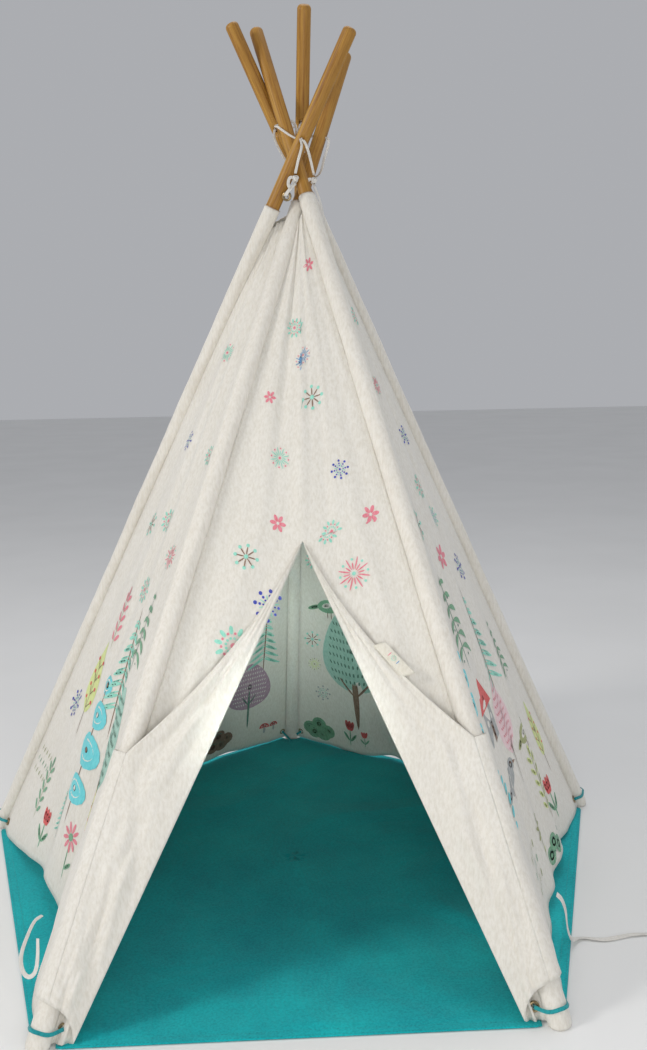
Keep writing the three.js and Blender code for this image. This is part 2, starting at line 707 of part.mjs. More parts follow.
function knotGeometry(centre) {
  const profile = [];
  for (let degrees = -90; degrees <= 90; degrees += 30) {
    const turn = radians(degrees);
    const radius = Math.max(0, KNOT_R * Math.cos(turn));
    profile.push(new THREE.Vector2(radius, KNOT_STRETCH * KNOT_R * Math.sin(turn)));
  }
  const geometry = new THREE.LatheGeometry(profile, 10).rotateX(Math.PI / 2);
  return geometryOf(solidOf(geometry.translate(...centre)));
}

const leftEye = TOP_EYELETS.side_left;
const rightEye = TOP_EYELETS.side_right;
const BESIDE = 2.1; // the tape goes through the left pole's hole twice, once on each side of its middle
const leftPoleHole = (distance, side) => holePoint('left', distance).add(point(side * BESIDE, 0, 0));
const crossingRoute = [
  [31, -82, 1352],
  [36, -86, 1372],
  [43, -92, 1396],
  leftPoleHole(17, -1),
  leftPoleHole(0, -1),
  leftPoleHole(-16, -1),
  [43, -36, 1424],
  [42, 2, 1448],
  holePoint('back', 16),
  holePoint('back', 0),
  holePoint('back', -16),
  [43, 73, 1466],
  [25, 73, 1458],
  holePoint('right', 16),
  holePoint('right', 0),
  holePoint('right', -16),
  [-4, 31, 1432],
  [6, 32, 1410],
  [17, 31, 1391],
  [31, 26, 1374],
  [49, 19, 1362],
  [68, 10, 1359],
  [79, -4, 1366],
  [86, -4, 1388],
  [94, 2, 1412],
  holePoint('front_left', 16),
  holePoint('front_left', 0),
  holePoint('front_left', -16),
  [55, 0, 1418],
  [49, -21, 1402],
  [47, -33, 1398],
  [44, -28, 1408],
  [39, -17, 1428],
  holePoint('front_right', 16),
  holePoint('front_right', 0),
  holePoint('front_right', -16),
  [3, -28, 1441],
  [24, -42, 1424],
  [41, -47, 1415],
  leftPoleHole(-14, 1),
  leftPoleHole(0, 1),
  leftPoleHole(17, 1),
  [51, -93, 1398],
  [58, -78, 1378],
  [65, -54, 1353],
];
const asArray = (p) => (Array.isArray(p) ? p : p.toArray());
add('crossing_tape', cordGeometry(crossingRoute.map(asArray), TAPE_R, 80), tape);
add('tape_knot_left', knotGeometry(LEFT_KNOT), tape);
add('tape_knot_right', knotGeometry(RIGHT_KNOT), tape);

// The short ends of the tape, from each knot down through its eyelet.
function tapeEnd(knot, eyelet) {
  const out = along(eyelet.centre, eyelet.normal, 9);
  const start = point(...knot).add(point(0, 0, -KNOT_R * KNOT_STRETCH - 1.2));
  const halfway = along(start.clone().lerp(out, 0.5), eyelet.normal, 4);
  return [start, halfway, out, eyelet.centre, along(eyelet.centre, eyelet.normal, -8)];
}
add('tape_end_left', cordGeometry(tapeEnd(LEFT_KNOT, leftEye).map(asArray), TAPE_END_R, 14), tape);
add('tape_end_right', cordGeometry(tapeEnd(RIGHT_KNOT, rightEye).map(asArray), TAPE_END_R, 14), tape);

// ---- tie-back tapes: a hanging loop on the left, and a long loose tape on the right ----
const LEFT_TIE = [
  [-404, -472, 171],
  [-416, -474, 163],
  [-428, -482, 140],
  [-436, -492, 116],
  [-434, -500, 97],
  [-424, -504, 86],
  [-414, -502, 92],
  [-410, -496, 112],
  [-410, -486, 140],
];
add('tie_loop_left', cordGeometry(LEFT_TIE, CORD_R, 24), tape);

const RIGHT_TIE = [
  [428, -438, 152],
  [436, -438, 143],
  [444, -434, 122],
  [449, -426, 98],
  [455, -412, 74],
  [464, -392, 50],
  [474, -368, 28],
  [485, -346, 12],
  [498, -332, 5],
  [513, -330, 3],
  [530, -335, 3],
  [548, -337, 3],
  [568, -333, 3],
  [590, -327, 3],
  [612, -325, 3],
  [634, -326, 3],
];
add('tie_tape_right', cordGeometry(RIGHT_TIE, CORD_R, 44), tape);

export default group;
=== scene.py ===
"""A children's teepee tent: five poles, a printed cotton cover with tied-back flaps, and a teal mat."""
import math
from bisect import bisect_left
from functools import partial
from itertools import accumulate

import bmesh
import bpy
import numpy as np
from mathutils import Matrix, Vector, noise


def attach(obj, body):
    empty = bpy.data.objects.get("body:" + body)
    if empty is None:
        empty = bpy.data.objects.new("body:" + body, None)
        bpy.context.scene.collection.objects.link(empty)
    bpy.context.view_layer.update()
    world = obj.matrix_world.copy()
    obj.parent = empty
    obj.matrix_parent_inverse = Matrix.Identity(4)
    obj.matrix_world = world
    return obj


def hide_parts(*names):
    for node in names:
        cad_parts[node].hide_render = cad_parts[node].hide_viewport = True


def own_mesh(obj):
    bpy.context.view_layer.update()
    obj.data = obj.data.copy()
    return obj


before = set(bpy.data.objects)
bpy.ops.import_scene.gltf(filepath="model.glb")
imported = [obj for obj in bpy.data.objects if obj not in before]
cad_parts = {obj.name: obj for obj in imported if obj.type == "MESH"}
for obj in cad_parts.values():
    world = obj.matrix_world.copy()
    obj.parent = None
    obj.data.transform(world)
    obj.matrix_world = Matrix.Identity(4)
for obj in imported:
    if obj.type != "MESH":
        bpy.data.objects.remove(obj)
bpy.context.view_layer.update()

# ---- driving dimensions, in metres ----
FOOT_RADIUS = 0.689
CROSS_Z = 1.406
POLE_R = 0.0125
POLE_LENGTH = 1.792
POLE_START = 0.008
HOLE_R = 0.0042
SLEEVE_R_FOOT = 0.0185
SLEEVE_R_TOP = 0.0143
SEAM_GAP = 0.0002
HEM_AT = 0.012
APEX_Z = 0.725
FOLD_START = 0.024
FOLD_FOOT = 0.052
SLIT_AT = 0.458
FLAP_LIFT = 0.005
FLAP_WRAP_GAP = 0.005
HEM_RISE = 0.050
HEM_RISE_LENGTH = 0.020
SLIT_SAG = 0.025
MAT_RADIUS = 0.697
NOTCH_R = 0.030
CLOTH = 0.0011
TAPE = 0.0011
THIN_TAPE = 0.0010
FLOOR_GAP = 0.0004
UP = Vector((0, 0, 1))

# Each pole: its foot's angle round the middle in degrees, where it passes CROSS_Z, its sleeve's top, and its
# cord hole's place along it and angle in degrees.
POLES = {
    "back": (90, (0.0464, 0.0671), 1.458, 1.602, -100),
    "left": (162, (0.0423, -0.0700), 1.473, 1.600, -88),
    "front_left": (234, (0.0712, 0.0067), 1.475, 1.616, -10),
    "front_right": (306, (0.0265, -0.0246), 1.452, 1.600, 0),
    "right": (18, (0.0230, 0.0482), 1.471, 1.600, 60),
}
# Each panel: first pole, second pole, top, rise of the hem's middle, sag of the cloth there.
PANELS = {
    "back_left": ("left", "back", 1.440, 0.008, 0.014),
    "back_right": ("back", "right", 1.430, 0.008, 0.014),
    "side_left": ("front_left", "left", 1.440, 0.060, 0.048),
    "side_right": ("right", "front_right", 1.440, 0.034, 0.022),
    "front": ("front_right", "front_left", 1.430, 0.0, 0.0),
}


# ---- camera ----
LENS = 35.47
CAMERA_PLACE = (-0.0061, -1.9969, 1.0539)
CAMERA_TURN = (-2.24, -9.94, -1.12)  # yaw, pitch and roll in degrees


def make_camera():
    data = bpy.data.cameras.new("camera")
    data.lens = LENS
    data.sensor_width = 36
    data.clip_end = 30
    camera = bpy.data.objects.new("camera", data)
    bpy.context.scene.collection.objects.link(camera)
    yaw, pitch, roll = (math.radians(a) for a in CAMERA_TURN)
    level = Matrix(((1, 0, 0), (0, 0, -1), (0, 1, 0)))
    turn = Matrix.Rotation(yaw, 3, "Z") @ Matrix.Rotation(pitch, 3, "X") @ level
    turn = turn @ Matrix.Rotation(roll, 3, "Z")
    camera.matrix_world = Matrix.Translation(CAMERA_PLACE) @ turn.to_4x4()
    bpy.context.scene.camera = camera


make_camera()


# ---- pole frames ----
class Pole:
    def __init__(self, name):
        angle, cross, self.top, self.hole_at, self.hole = POLES[name]
        turn = math.radians(angle)
        self.name = name
        self.foot = Vector((math.cos(turn), math.sin(turn), 0)) * FOOT_RADIUS
        self.crossing = Vector((*cross, CROSS_Z))
        self.axis = (self.crossing - self.foot).normalized()
        self.side = UP.cross(self.axis).normalized()
        self.out = self.axis.cross(self.side)

    def at(self, s):
        return self.foot + self.axis * s

    def radius(self, s):
        share = min(1, max(0, s / self.top))
        return SLEEVE_R_FOOT + (SLEEVE_R_TOP - SLEEVE_R_FOOT) * share

    def towards(self, other, s):
        across = other.at(s) - self.at(s)
        return (across - self.axis * across.dot(self.axis)).normalized()

    def edge(self, other, s, gap=SEAM_GAP):
        """Where cloth that runs to another pole leaves this one's sleeve."""
        return self.at(s) + self.towards(other, s) * (self.radius(s) + gap)

    def hole_axis(self):
        angle = math.radians(self.hole)
        flat = Vector((math.cos(angle), math.sin(angle), 0))
        return (flat - self.axis * flat.dot(self.axis)).normalized()


poles = {name: Pole(name) for name in POLES}


# ---- mesh helpers ----
def link(name, mesh, materials, smooth=True):
    for material in materials:
        mesh.materials.append(material)
    if smooth:
        mesh.shade_smooth()
    obj = bpy.data.objects.new(name, mesh)
    bpy.context.scene.collection.objects.link(obj)
    return obj


def from_data(name, vertices, faces, materials, smooth=True, slots=None):
    mesh = bpy.data.meshes.new(name)
    mesh.from_pydata([tuple(v) for v in vertices], [], faces)
    if slots:
        mesh.polygons.foreach_set("material_index", slots)
    return link(name, mesh, materials, smooth)


def grid_faces(rows, columns, wrap=False, start=0):
    faces = []
    across = columns if wrap else columns - 1
    for r in range(rows - 1):
        for c in range(across):
            d = (c + 1) % columns
            faces.append((
                start + r * columns + c, start + r * columns + d,
                start + (r + 1) * columns + d, start + (r + 1) * columns + c,
            ))
    return faces


def tube_faces(rows, columns):
    """A tube's faces, with a cap at each end."""
    caps = [tuple(range(columns - 1, -1, -1)), tuple(range((rows - 1) * columns, rows * columns))]
    return grid_faces(rows, columns, wrap=True) + caps


def settle(obj, merge=0.0):
    """Applies the object's modifiers and turns its faces outward."""
    depsgraph = bpy.context.evaluated_depsgraph_get()
    mesh = bpy.data.meshes.new_from_object(obj.evaluated_get(depsgraph))
    obj.modifiers.clear()
    old = obj.data
    obj.data = mesh
    bpy.data.meshes.remove(old)
    work = bmesh.new()
    work.from_mesh(mesh)
    if merge:
        bmesh.ops.remove_doubles(work, verts=work.verts, dist=merge)
    bmesh.ops.recalc_face_normals(work, faces=work.faces)
    work.to_mesh(mesh)
    work.free()
    mesh.shade_smooth()
    return obj


def thicken(obj, thickness):
    solid = obj.modifiers.new("thickness", "SOLIDIFY")
    solid.thickness = thickness
    solid.offset = 0
    return settle(obj)


def dress(obj, body, node=None):
    """Puts a piece on its body and, with a node, in that CAD node's place."""
    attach(obj, body)
    if node:
        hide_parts(node)
    return obj


def smoothstep(a, b, x):
    t = min(1.0, max(0.0, (x - a) / (b - a)))
    return t * t * (3 - 2 * t)


def lerp(a, b, t):
    return a + (b - a) * t


def even(low, high, count):
    return [lerp(low, high, k / (count - 1)) for k in range(count)]


def around(count, phase=0.0):
    return [2 * math.pi * (k + phase) / count for k in range(count)]


def polar(radius, turn):
    return radius * math.cos(turn), radius * math.sin(turn)


def step_at(lengths, distance):
    """The step of a line that a distance along it falls in, and the share of that step."""
    k = min(len(lengths) - 2, max(0, bisect_left(lengths, distance) - 1))
    return k, (distance - lengths[k]) / max(1e-9, lengths[k + 1] - lengths[k])


def ripple(x, y, seed):
    return noise.noise(Vector((x, y, seed)))


TAPE_SIDES = 10


def ribbon(name, points, facing, width, thickness, material, steps=4):
    """A flat tape with rounded edges along a route; facing gives the way its flat side looks."""
    fine = spline(points, steps)
    section = []
    for turn in around(TAPE_SIDES):
        x, y = polar(1, turn)
        section.append((math.copysign(abs(x) ** 0.4, x) * width / 2,
                        math.copysign(abs(y) ** 0.7, y) * thickness / 2))
    vertices, count = [], len(fine)
    for k, place in enumerate(fine):
        ahead = (fine[min(k + 1, count - 1)] - fine[max(k - 1, 0)]).normalized()
        flat = facing(k / (count - 1), place)
        across = ahead.cross(flat).normalized()
        out = across.cross(ahead).normalized()
        vertices += [place + across * x + out * y for x, y in section]
    return settle(from_data(name, vertices, tube_faces(count, TAPE_SIDES), [material])), fine


def spline(points, steps):
    """A smooth line through the points."""
    points = [Vector(p) for p in points]
    fine = []
    for k in range(len(points) - 1):
        before = points[max(k - 1, 0)]
        after = points[min(k + 2, len(points) - 1)]
        a, b = points[k], points[k + 1]
        reach = (b - a).length
        start = (b - before).normalized() * reach * 0.5
        end = (after - a).normalized() * reach * 0.5
        for step in range(steps):
            t = step / steps
            h = (2 * t**3 - 3 * t**2 + 1, t**3 - 2 * t**2 + t, -2 * t**3 + 3 * t**2, t**3 - t**2)
            fine.append(a * h[0] + start * 2 * h[1] + b * h[2] + end * 2 * h[3])
    fine.append(points[-1])
    return fine


# ---- materials ----
class Nodes:
    """A material's node tree, with short calls for the nodes that the materials here use."""

    def __init__(self, name):
        self.material = bpy.data.materials.new(name)
        self.material.use_nodes = True
        self.tree = self.material.node_tree
        self.shader = self.tree.nodes["Principled BSDF"]

    def add(self, kind, **values):
        node = self.tree.nodes.new(kind)
        for key, value in values.items():
            setattr(node, key, value)
        return node

    def join(self, out, to):
        self.tree.links.new(out, to)

    def colour(self, out):
        self.join(out, self.shader.inputs["Base Color"])

    def place(self, scale=(1, 1, 1)):
        where = self.add("ShaderNodeTexCoord")
        mapping = self.add("ShaderNodeMapping")
        mapping.inputs["Scale"].default_value = scale
        self.join(where.outputs["Object"], mapping.inputs["Vector"])
        return mapping.outputs["Vector"]

    def noise(self, scale, detail=4.0, roughness=0.55, stretch=(1, 1, 1)):
        node = self.add("ShaderNodeTexNoise")
        node.inputs["Scale"].default_value = scale
        node.inputs["Detail"].default_value = detail
        node.inputs["Roughness"].default_value = roughness
        self.join(self.place(stretch), node.inputs["Vector"])
        return node.outputs["Fac"]

    def wave(self, scale, direction):
        node = self.add("ShaderNodeTexWave")
        node.bands_direction = direction
        node.inputs["Scale"].default_value = scale
        node.inputs["Distortion"].default_value = 0.6
        node.inputs["Detail Scale"].default_value = 2.0
        self.join(self.place(), node.inputs["Vector"])
        return node.outputs["Fac"]

    def ramp(self, source, stops):
        node = self.add("ShaderNodeValToRGB")
        ramp = node.color_ramp
        while len(ramp.elements) < len(stops):
            ramp.elements.new(0.5)
        for element, (where, colour) in zip(ramp.elements, stops):
            element.position = where
            element.color = (*colour, 1)
        self.join(source, node.inputs["Fac"])
        return node.outputs["Color"]

    def mix(self, kind, a, b, factor):
        node = self.add("ShaderNodeMix", data_type="RGBA", blend_type=kind)
        node.inputs["Factor"].default_value = factor
        self.join(a, node.inputs[6])
        self.join(b, node.inputs[7])
        return node.outputs[2]

    def math(self, kind, a, b):
        node = self.add("ShaderNodeMath", operation=kind)
        for source, socket in ((a, node.inputs[0]), (b, node.inputs[1])):
            if isinstance(source, (int, float)):
                socket.default_value = source
            else:
                self.join(source, socket)
        return node.outputs[0]

    def bump(self, height, strength, distance):
        node = self.add("ShaderNodeBump")
        node.inputs["Strength"].default_value = strength
        node.inputs["Distance"].default_value = distance
        self.join(height, node.inputs["Height"])
        self.join(node.outputs["Normal"], self.shader.inputs["Normal"])

    def set(self, **values):
        for key, value in values.items():
            self.shader.inputs[key.replace("_", " ")].default_value = value


def woven(name, light, dark, weave=420.0, sheen=0.25, strength=0.35):
    """Plain-weave cloth: two sets of threads, slubs, and a faint unevenness of tone."""
    nodes = Nodes(name)
    warp = nodes.wave(weave, "X")
    weft = nodes.wave(weave, "Z")
    depth = nodes.wave(weave, "Y")
    threads = nodes.math("MAXIMUM", nodes.math("MULTIPLY", warp, weft), nodes.math("MULTIPLY", depth, weft))
    slubs = nodes.noise(260, 3.0, 0.6, (1, 1, 0.25))
    tone = nodes.noise(7, 5.0)
    base = nodes.ramp(tone, [(0.3, dark), (0.7, light)])
    fleck = nodes.ramp(slubs, [(0.3, tuple(c * 0.93 for c in light)), (0.62, (1, 1, 1))])
    nodes.colour(nodes.mix("MULTIPLY", base, fleck, 0.5))
    height = nodes.math("ADD", threads, nodes.math("MULTIPLY", slubs, 0.8))
    nodes.bump(height, strength, 0.0004)
    nodes.set(Roughness=0.92, Sheen_Weight=sheen, Sheen_Roughness=0.5, Specular_IOR_Level=0.2)
    return nodes


def cloth_with_light(name, light, dark):
    """Thin cloth that lets a little light through."""
    nodes = woven(name, light, dark)
    nodes.set(Subsurface_Weight=0.12, Subsurface_Scale=0.004)
    nodes.shader.inputs["Subsurface Radius"].default_value = (1.0, 0.9, 0.75)
    return nodes.material


def wood_material(name, seed):
    """Lightly varnished wood: long streaks, darker lines along the grain, and pores."""
    nodes = Nodes(name)
    streaks = nodes.noise(9.0, 8.0, 0.62, (9 + seed, 9, 0.55))
    lines = nodes.noise(30.0, 6.0, 0.7, (6, 6 + seed, 0.12))
    pores = nodes.noise(160.0, 4.0, 0.7, (4, 4, 0.14))
    base = nodes.ramp(streaks, [(0.28, (0.22, 0.10, 0.017)), (0.45, (0.38, 0.19, 0.034)),
                                (0.6, (0.48, 0.26, 0.05)), (0.78, (0.57, 0.35, 0.085))])
    dark = nodes.ramp(lines, [(0.36, (0.52, 0.36, 0.24)), (0.5, (1, 1, 1))])
    pits = nodes.ramp(pores, [(0.34, (0.62, 0.5, 0.4)), (0.46, (1, 1, 1))])
    streaked = nodes.mix("MULTIPLY", base, dark, 0.75)
    nodes.colour(nodes.mix("MULTIPLY", streaked, pits, 0.6))
    nodes.bump(pores, 0.18, 0.0003)
    nodes.set(Roughness=0.5, Coat_Weight=0.08, Coat_Roughness=0.25, Specular_IOR_Level=0.3)
    return nodes.material


def metal_material(name, light, dark):
    nodes = Nodes(name)
    wear = nodes.noise(240, 5.0, 0.65)
    nodes.colour(nodes.ramp(wear, [(0.35, dark), (0.65, light)]))
    nodes.bump(wear, 0.12, 0.0003)
    nodes.set(Metallic=1.0, Roughness=0.34)
    return nodes.material


CREAM = (0.82, 0.79, 0.725)
canvas = cloth_with_light("canvas", CREAM, (0.785, 0.752, 0.682))
thread = woven("thread", (0.86, 0.83, 0.77), (0.76, 0.73, 0.66), weave=900, strength=0.2).material
tan_thread = woven("edge_thread", (0.52, 0.40, 0.27), (0.42, 0.31, 0.2), weave=900).material
cotton_tape = woven("cotton_tape", (0.83, 0.81, 0.77), (0.74, 0.72, 0.67), weave=700, strength=0.5).material
teal_cloth = woven("teal_cloth", (0.008, 0.50, 0.52), (0.005, 0.37, 0.41), weave=520, sheen=0.1).material
teal_tape = woven("teal_tape", (0.03, 0.40, 0.42), (0.012, 0.28, 0.31), weave=800, strength=0.5).material
label_cloth = woven("label_cloth", (0.83, 0.80, 0.71), (0.77, 0.73, 0.63), weave=900).material
antique_brass = metal_material("antique_brass", (0.50, 0.38, 0.21), (0.17, 0.125, 0.075))
woods = {name: wood_material(f"wood_{name}", k) for k, name in enumerate(POLES)}

INK_COLOURS = {
    "mint": (0.35, 0.80, 0.66), "pink": (0.86, 0.27, 0.34), "blue": (0.15, 0.38, 0.66),
    "olive": (0.42, 0.45, 0.20), "lime": (0.76, 0.84, 0.36), "red": (0.78, 0.10, 0.10),
    "brown": (0.28, 0.16, 0.10), "mauve": (0.52, 0.34, 0.44), "grey": (0.45, 0.47, 0.47),
    "turquoise": (0.16, 0.74, 0.80), "green": (0.20, 0.46, 0.28), "dark": (0.09, 0.24, 0.17),
    "white": (0.86, 0.84, 0.78), "yellow": (0.88, 0.86, 0.42), "sage": (0.42, 0.68, 0.58),
    "pale_pink": (0.93, 0.72, 0.74), "navy": (0.03, 0.06, 0.50),
}


def ink_material(name, colour):
    """Printing ink soaked into the weave: the cloth's tone shows through it unevenly."""
    soft = tuple(lerp(c, base, 0.08) for c, base in zip(colour, CREAM))
    return woven(f"ink_{name}", soft, tuple(c * 0.88 for c in soft), sheen=0.15).material


inks = {name: ink_material(name, colour) for name, colour in INK_COLOURS.items()}
INK_NAMES = list(inks)

# ---- cords come first ----
LEFT_TIE = [
    (-0.404, -0.472, 0.171), (-0.416, -0.474, 0.163), (-0.428, -0.482, 0.140), (-0.436, -0.492, 0.116),
    (-0.434, -0.500, 0.097), (-0.424, -0.504, 0.086), (-0.414, -0.502, 0.092), (-0.410, -0.496, 0.112),
    (-0.410, -0.486, 0.140),
]
RIGHT_TIE = [
    (0.428, -0.438, 0.152), (0.436, -0.438, 0.143), (0.444, -0.434, 0.122), (0.449, -0.426, 0.098),
    (0.455, -0.412, 0.074), (0.464, -0.392, 0.050), (0.474, -0.368, 0.028), (0.485, -0.346, 0.012),
    (0.498, -0.332, 0.005), (0.513, -0.330, 0.003), (0.530, -0.335, 0.003), (0.548, -0.337, 0.003),
    (0.568, -0.333, 0.003), (0.590, -0.327, 0.003), (0.612, -0.325, 0.003), (0.634, -0.326, 0.003),
]


LEFT_TIE_WIDTH = 0.007
RIGHT_TIE_WIDTH = 0.0095


def left_tie_facing(share, place):
    return Vector((math.cos(2.2 * share), -0.6, math.sin(2.2 * share) * 0.6)).normalized()


def right_tie_facing(share, place):
    """Upright where the tape hangs, and nearly flat where it lies on the floor."""
    hanging = Vector((0.75, -0.55, 0.35))
    lying = Vector((0.12 * math.sin(9 * share), 0.25 * math.sin(14 * share), 1.0))
    return hanging.lerp(lying, smoothstep(0.38, 0.56, share)).normalized()


def make_tie(name, route, facing, width, body, node):
    tape, line = ribbon(name, route, facing, width, TAPE, cotton_tape)
    for vertex in tape.data.vertices:
        vertex.co.z = max(vertex.co.z, FLOOR_GAP)
    dress(tape, body, node)


make_tie("left_tie_loop", LEFT_TIE, left_tie_facing, LEFT_TIE_WIDTH, "pole_front_left", "tie_loop_left")
make_tie("right_tie_tape", RIGHT_TIE, right_tie_facing, RIGHT_TIE_WIDTH, "pole_front_right", "tie_tape_right")


# ---- the panel surfaces ----
def outward_of(name):
    first, second = poles[PANELS[name][0]], poles[PANELS[name][1]]
    across = second.foot - first.foot
    return -across.cross(first.axis).normalized()


OUTWARD = {name: outward_of(name) for name in PANELS}
SEEDS = {name: 3.7 * k for k, name in enumerate(PANELS)}


def folds(name, u, v):
    """How far soft folds push the cloth out: creases that run up the panel, fading at its sleeves."""
    seed = SEEDS[name]
    hold = (4 * min(1, max(0, u)) * (1 - min(1, max(0, u)))) ** 0.7
    long_fold = ripple(u * 4.6 + 0.9 * ripple(u * 2, v * 1.5, seed + 5), v * 1.3, seed)
    drape = ripple(u * 9 + v * 1.5, v * 2.2, seed + 11)
    fine = ripple(u * 17, v * 7, seed + 17)
    corner = (1 - v) ** 2 * math.sin(9 * u + 4 * v + seed)
    width = lerp(1.0, 0.25, v)
    return hold * width * (0.022 * long_fold + 0.011 * drape + 0.0035 * fine + 0.004 * corner)


def bow_of(u):
    """How free of the sleeves the cloth is: 0 beside them, 1 half way between."""
    inner = min(1, max(0, (u - 0.06) / 0.88))
    return (4 * inner * (1 - inner)) ** 1.5


def hem_of(name, u):
    return HEM_AT + PANELS[name][3] * bow_of(u)


def panel_at(name, u, s):
    """The cloth's middle surface: u from the first sleeve to the second, s up the poles."""
    first, second, top, _, sag = PANELS[name]
    a, b = poles[first], poles[second]
    low = hem_of(name, u)
    v = min(1, max(0, (s - low) / (top - low)))
    s = max(s, low)
    flat = a.edge(b, s).lerp(b.edge(a, s), u) - OUTWARD[name] * sag * bow_of(u) * (1 - v) ** 3
    return flat + OUTWARD[name] * folds(name, u, v)


def panel_normal(name, u, s):
    step = 0.004
    across = panel_at(name, u + step, s) - panel_at(name, u - step, s)
    upward = panel_at(name, u, s + step) - panel_at(name, u, s)
    normal = across.cross(upward).normalized()
    return normal if normal.dot(OUTWARD[name]) > 0 else -normal


# ---- the door ----
front_low = (poles["front_left"].foot + poles["front_right"].foot) / 2
front_high = (poles["front_left"].crossing + poles["front_right"].crossing) / 2
APEX = front_low.lerp(front_high, APEX_Z / CROSS_Z)


class Door:
    """One side of the door: its pole, its neighbours, and the folded edge from the corner to the apex."""

    def __init__(self, pole, across, beside):
        self.pole, self.across, self.beside = poles[pole], poles[across], poles[beside]
        self.corner = self.pole.at(FOLD_START) + self.pole.towards(self.across, FOLD_START) * FOLD_FOOT
        self.apex_s = (APEX - self.pole.foot).dot(self.pole.axis)

    def fold(self, s):
        return self.corner.lerp(APEX, (s - FOLD_START) / (self.apex_s - FOLD_START))

    def directions(self, s):
        in_front = self.pole.towards(self.across, s)
        in_side = self.pole.towards(self.beside, s)
        outward = -(in_front + in_side)
        front = (outward - in_front * outward.dot(in_front)).normalized()
        return in_front, in_side, front


doors = {
    "left": Door("front_left", "front_right", "left"),
    "right": Door("front_right", "front_left", "right"),
}


def gather(obj, body):
    """A piece of a panel rides on the panel, with a mesh of its own."""
    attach(obj, body)
    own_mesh(obj)


COLUMNS, ROWS = 64, 120
HALF_COLUMNS, HALF_ROWS = 34, 62


def make_panel(name):
    if name == "front":
        obj = make_front_panel()
    else:
        vertices = []
        for v in even(0, 1, ROWS):
            for u in even(0, 1, COLUMNS):
                vertices.append(panel_at(name, u, lerp(hem_of(name, u), PANELS[name][2], v)))
        obj = from_data(f"{name}_panel", vertices, grid_faces(ROWS, COLUMNS), [canvas])
    return thicken(obj, CLOTH)


def front_halves():
    """The front panel's rows on each side of the door: (s, outer u, place on the door's side)."""
    top = PANELS["front"][2]
    halves = {}
    for side, door in doors.items():
        levels = even(HEM_AT, door.apex_s, HALF_ROWS)[:-1] + even(door.apex_s, top, HALF_ROWS)
        halves[side] = [(s, door_side_of(door, s)) for s in levels]
    return halves


def door_side_of(door, s):
    """Where a half of the front panel ends: the folded edge, and above it the panel's middle line."""
    if s < door.apex_s:
        return door.fold(max(s, FOLD_START - 0.004))
    top = PANELS["front"][2]
    return APEX.lerp(panel_at("front", 0.5, top), (s - door.apex_s) / (top - door.apex_s))


def front_point(side, s, inner, t):
    """A point of the front panel, t from the sleeve to the door's edge or the middle line."""
    door = doors[side]
    above = s - door.apex_s
    push = folds("front", 1 - t / 2 if side == "left" else t / 2, s / PANELS["front"][2]) * t * (1 - t) * 4.5
    ridge = 0.004 * math.exp(-((1 - t) / 0.12) ** 2) * smoothstep(0.0, 0.1, above)
    ridge *= 1 - smoothstep(0.25, 0.5, above)
    return door.pole.edge(door.across, s).lerp(inner, t) + OUTWARD["front"] * (push + ridge)


def make_front_panel():
    vertices, faces = [], []
    halves = front_halves()
    for side in ("right", "left"):
        start = len(vertices)
        for s, inner in halves[side]:
            vertices += [front_point(side, s, inner, t) for t in even(0, 1, HALF_COLUMNS)]
        faces += grid_faces(len(halves[side]), HALF_COLUMNS, start=start)
    obj = from_data("front_panel", vertices, faces, [canvas])
    return settle(obj, merge=0.0008)


# ---- stitches and hems ----
STITCH_WIDTH = 0.0009
STITCH_HEIGHT = 0.0005
STITCH_FACES = ((0, 1, 6), (1, 2, 7, 6), (2, 3, 7), (3, 4, 7), (4, 5, 6, 7), (5, 0, 6), (5, 4, 3, 2, 1, 0))
CLOTH_FACE = 0.0008
PRINT_FACE = 0.0009
LAYER_FACE = 0.00006
SEAM_ROWS = (0.004, 0.0095)
HEM_ROWS = (0.004, 0.017)
FRONT_SEAM_ROWS = (0.018, 0.04)


class Marks:
    """Small flat shapes on a surface, joined into one mesh: stitches, or a print in several inks."""

    def __init__(self):
        self.vertices, self.faces, self.slots = [], [], []

    def rings(self, middle, rims, slot):
        """A filled shape: its middle, then rims from the innermost to the outline."""
        start, count = len(self.vertices), len(rims[0])
        self.vertices += [middle, *(place for rim in rims for place in rim)]
        faces = [(start, start + 1 + k, start + 1 + (k + 1) % count) for k in range(count)]
        faces += grid_faces(len(rims), count, wrap=True, start=start + 1)
        self.faces += faces
        self.slots += [slot] * len(faces)

    def stitch(self, a, b, normal):
        """A small pad, pointed at both ends, with a ridge along it."""
        along = b - a
        if along.length < 1e-5:
            return
        across = along.cross(normal).normalized() * STITCH_WIDTH / 2
        up = normal * STITCH_HEIGHT
        start = len(self.vertices)
        self.vertices += [a, lerp(a, b, 0.2) + across, lerp(a, b, 0.8) + across, b,
                          lerp(a, b, 0.8) - across, lerp(a, b, 0.2) - across,
                          lerp(a, b, 0.25) + up, lerp(a, b, 0.75) + up]
        for face in STITCH_FACES:
            self.faces.append(tuple(start + k for k in face))
            self.slots.append(0)

    def seam(self, places, normals, pitch=0.0052, share=0.62):
        """Running stitches along a line of places, with the surface's normal at each."""
        lengths = list(accumulate(((b - a).length for a, b in zip(places, places[1:])), initial=0.0))

        def at(distance):
            k, t = step_at(lengths, distance)
            return places[k].lerp(places[k + 1], t), normals[k].lerp(normals[k + 1], t).normalized()

        for k in range(int(lengths[-1] / pitch)):
            a, normal = at(k * pitch)
            b, _ = at((k + share) * pitch)
            self.stitch(a, b, normal)

    def make(self, name, materials, smooth=False):
        return from_data(name, self.vertices, self.faces, materials, smooth, self.slots)


def panel_line(name, us, ss):
    normals = [panel_normal(name, u, s) for u, s in zip(us, ss)]
    return [panel_at(name, u, s) + n * CLOTH_FACE for (u, s), n in zip(zip(us, ss), normals)], normals


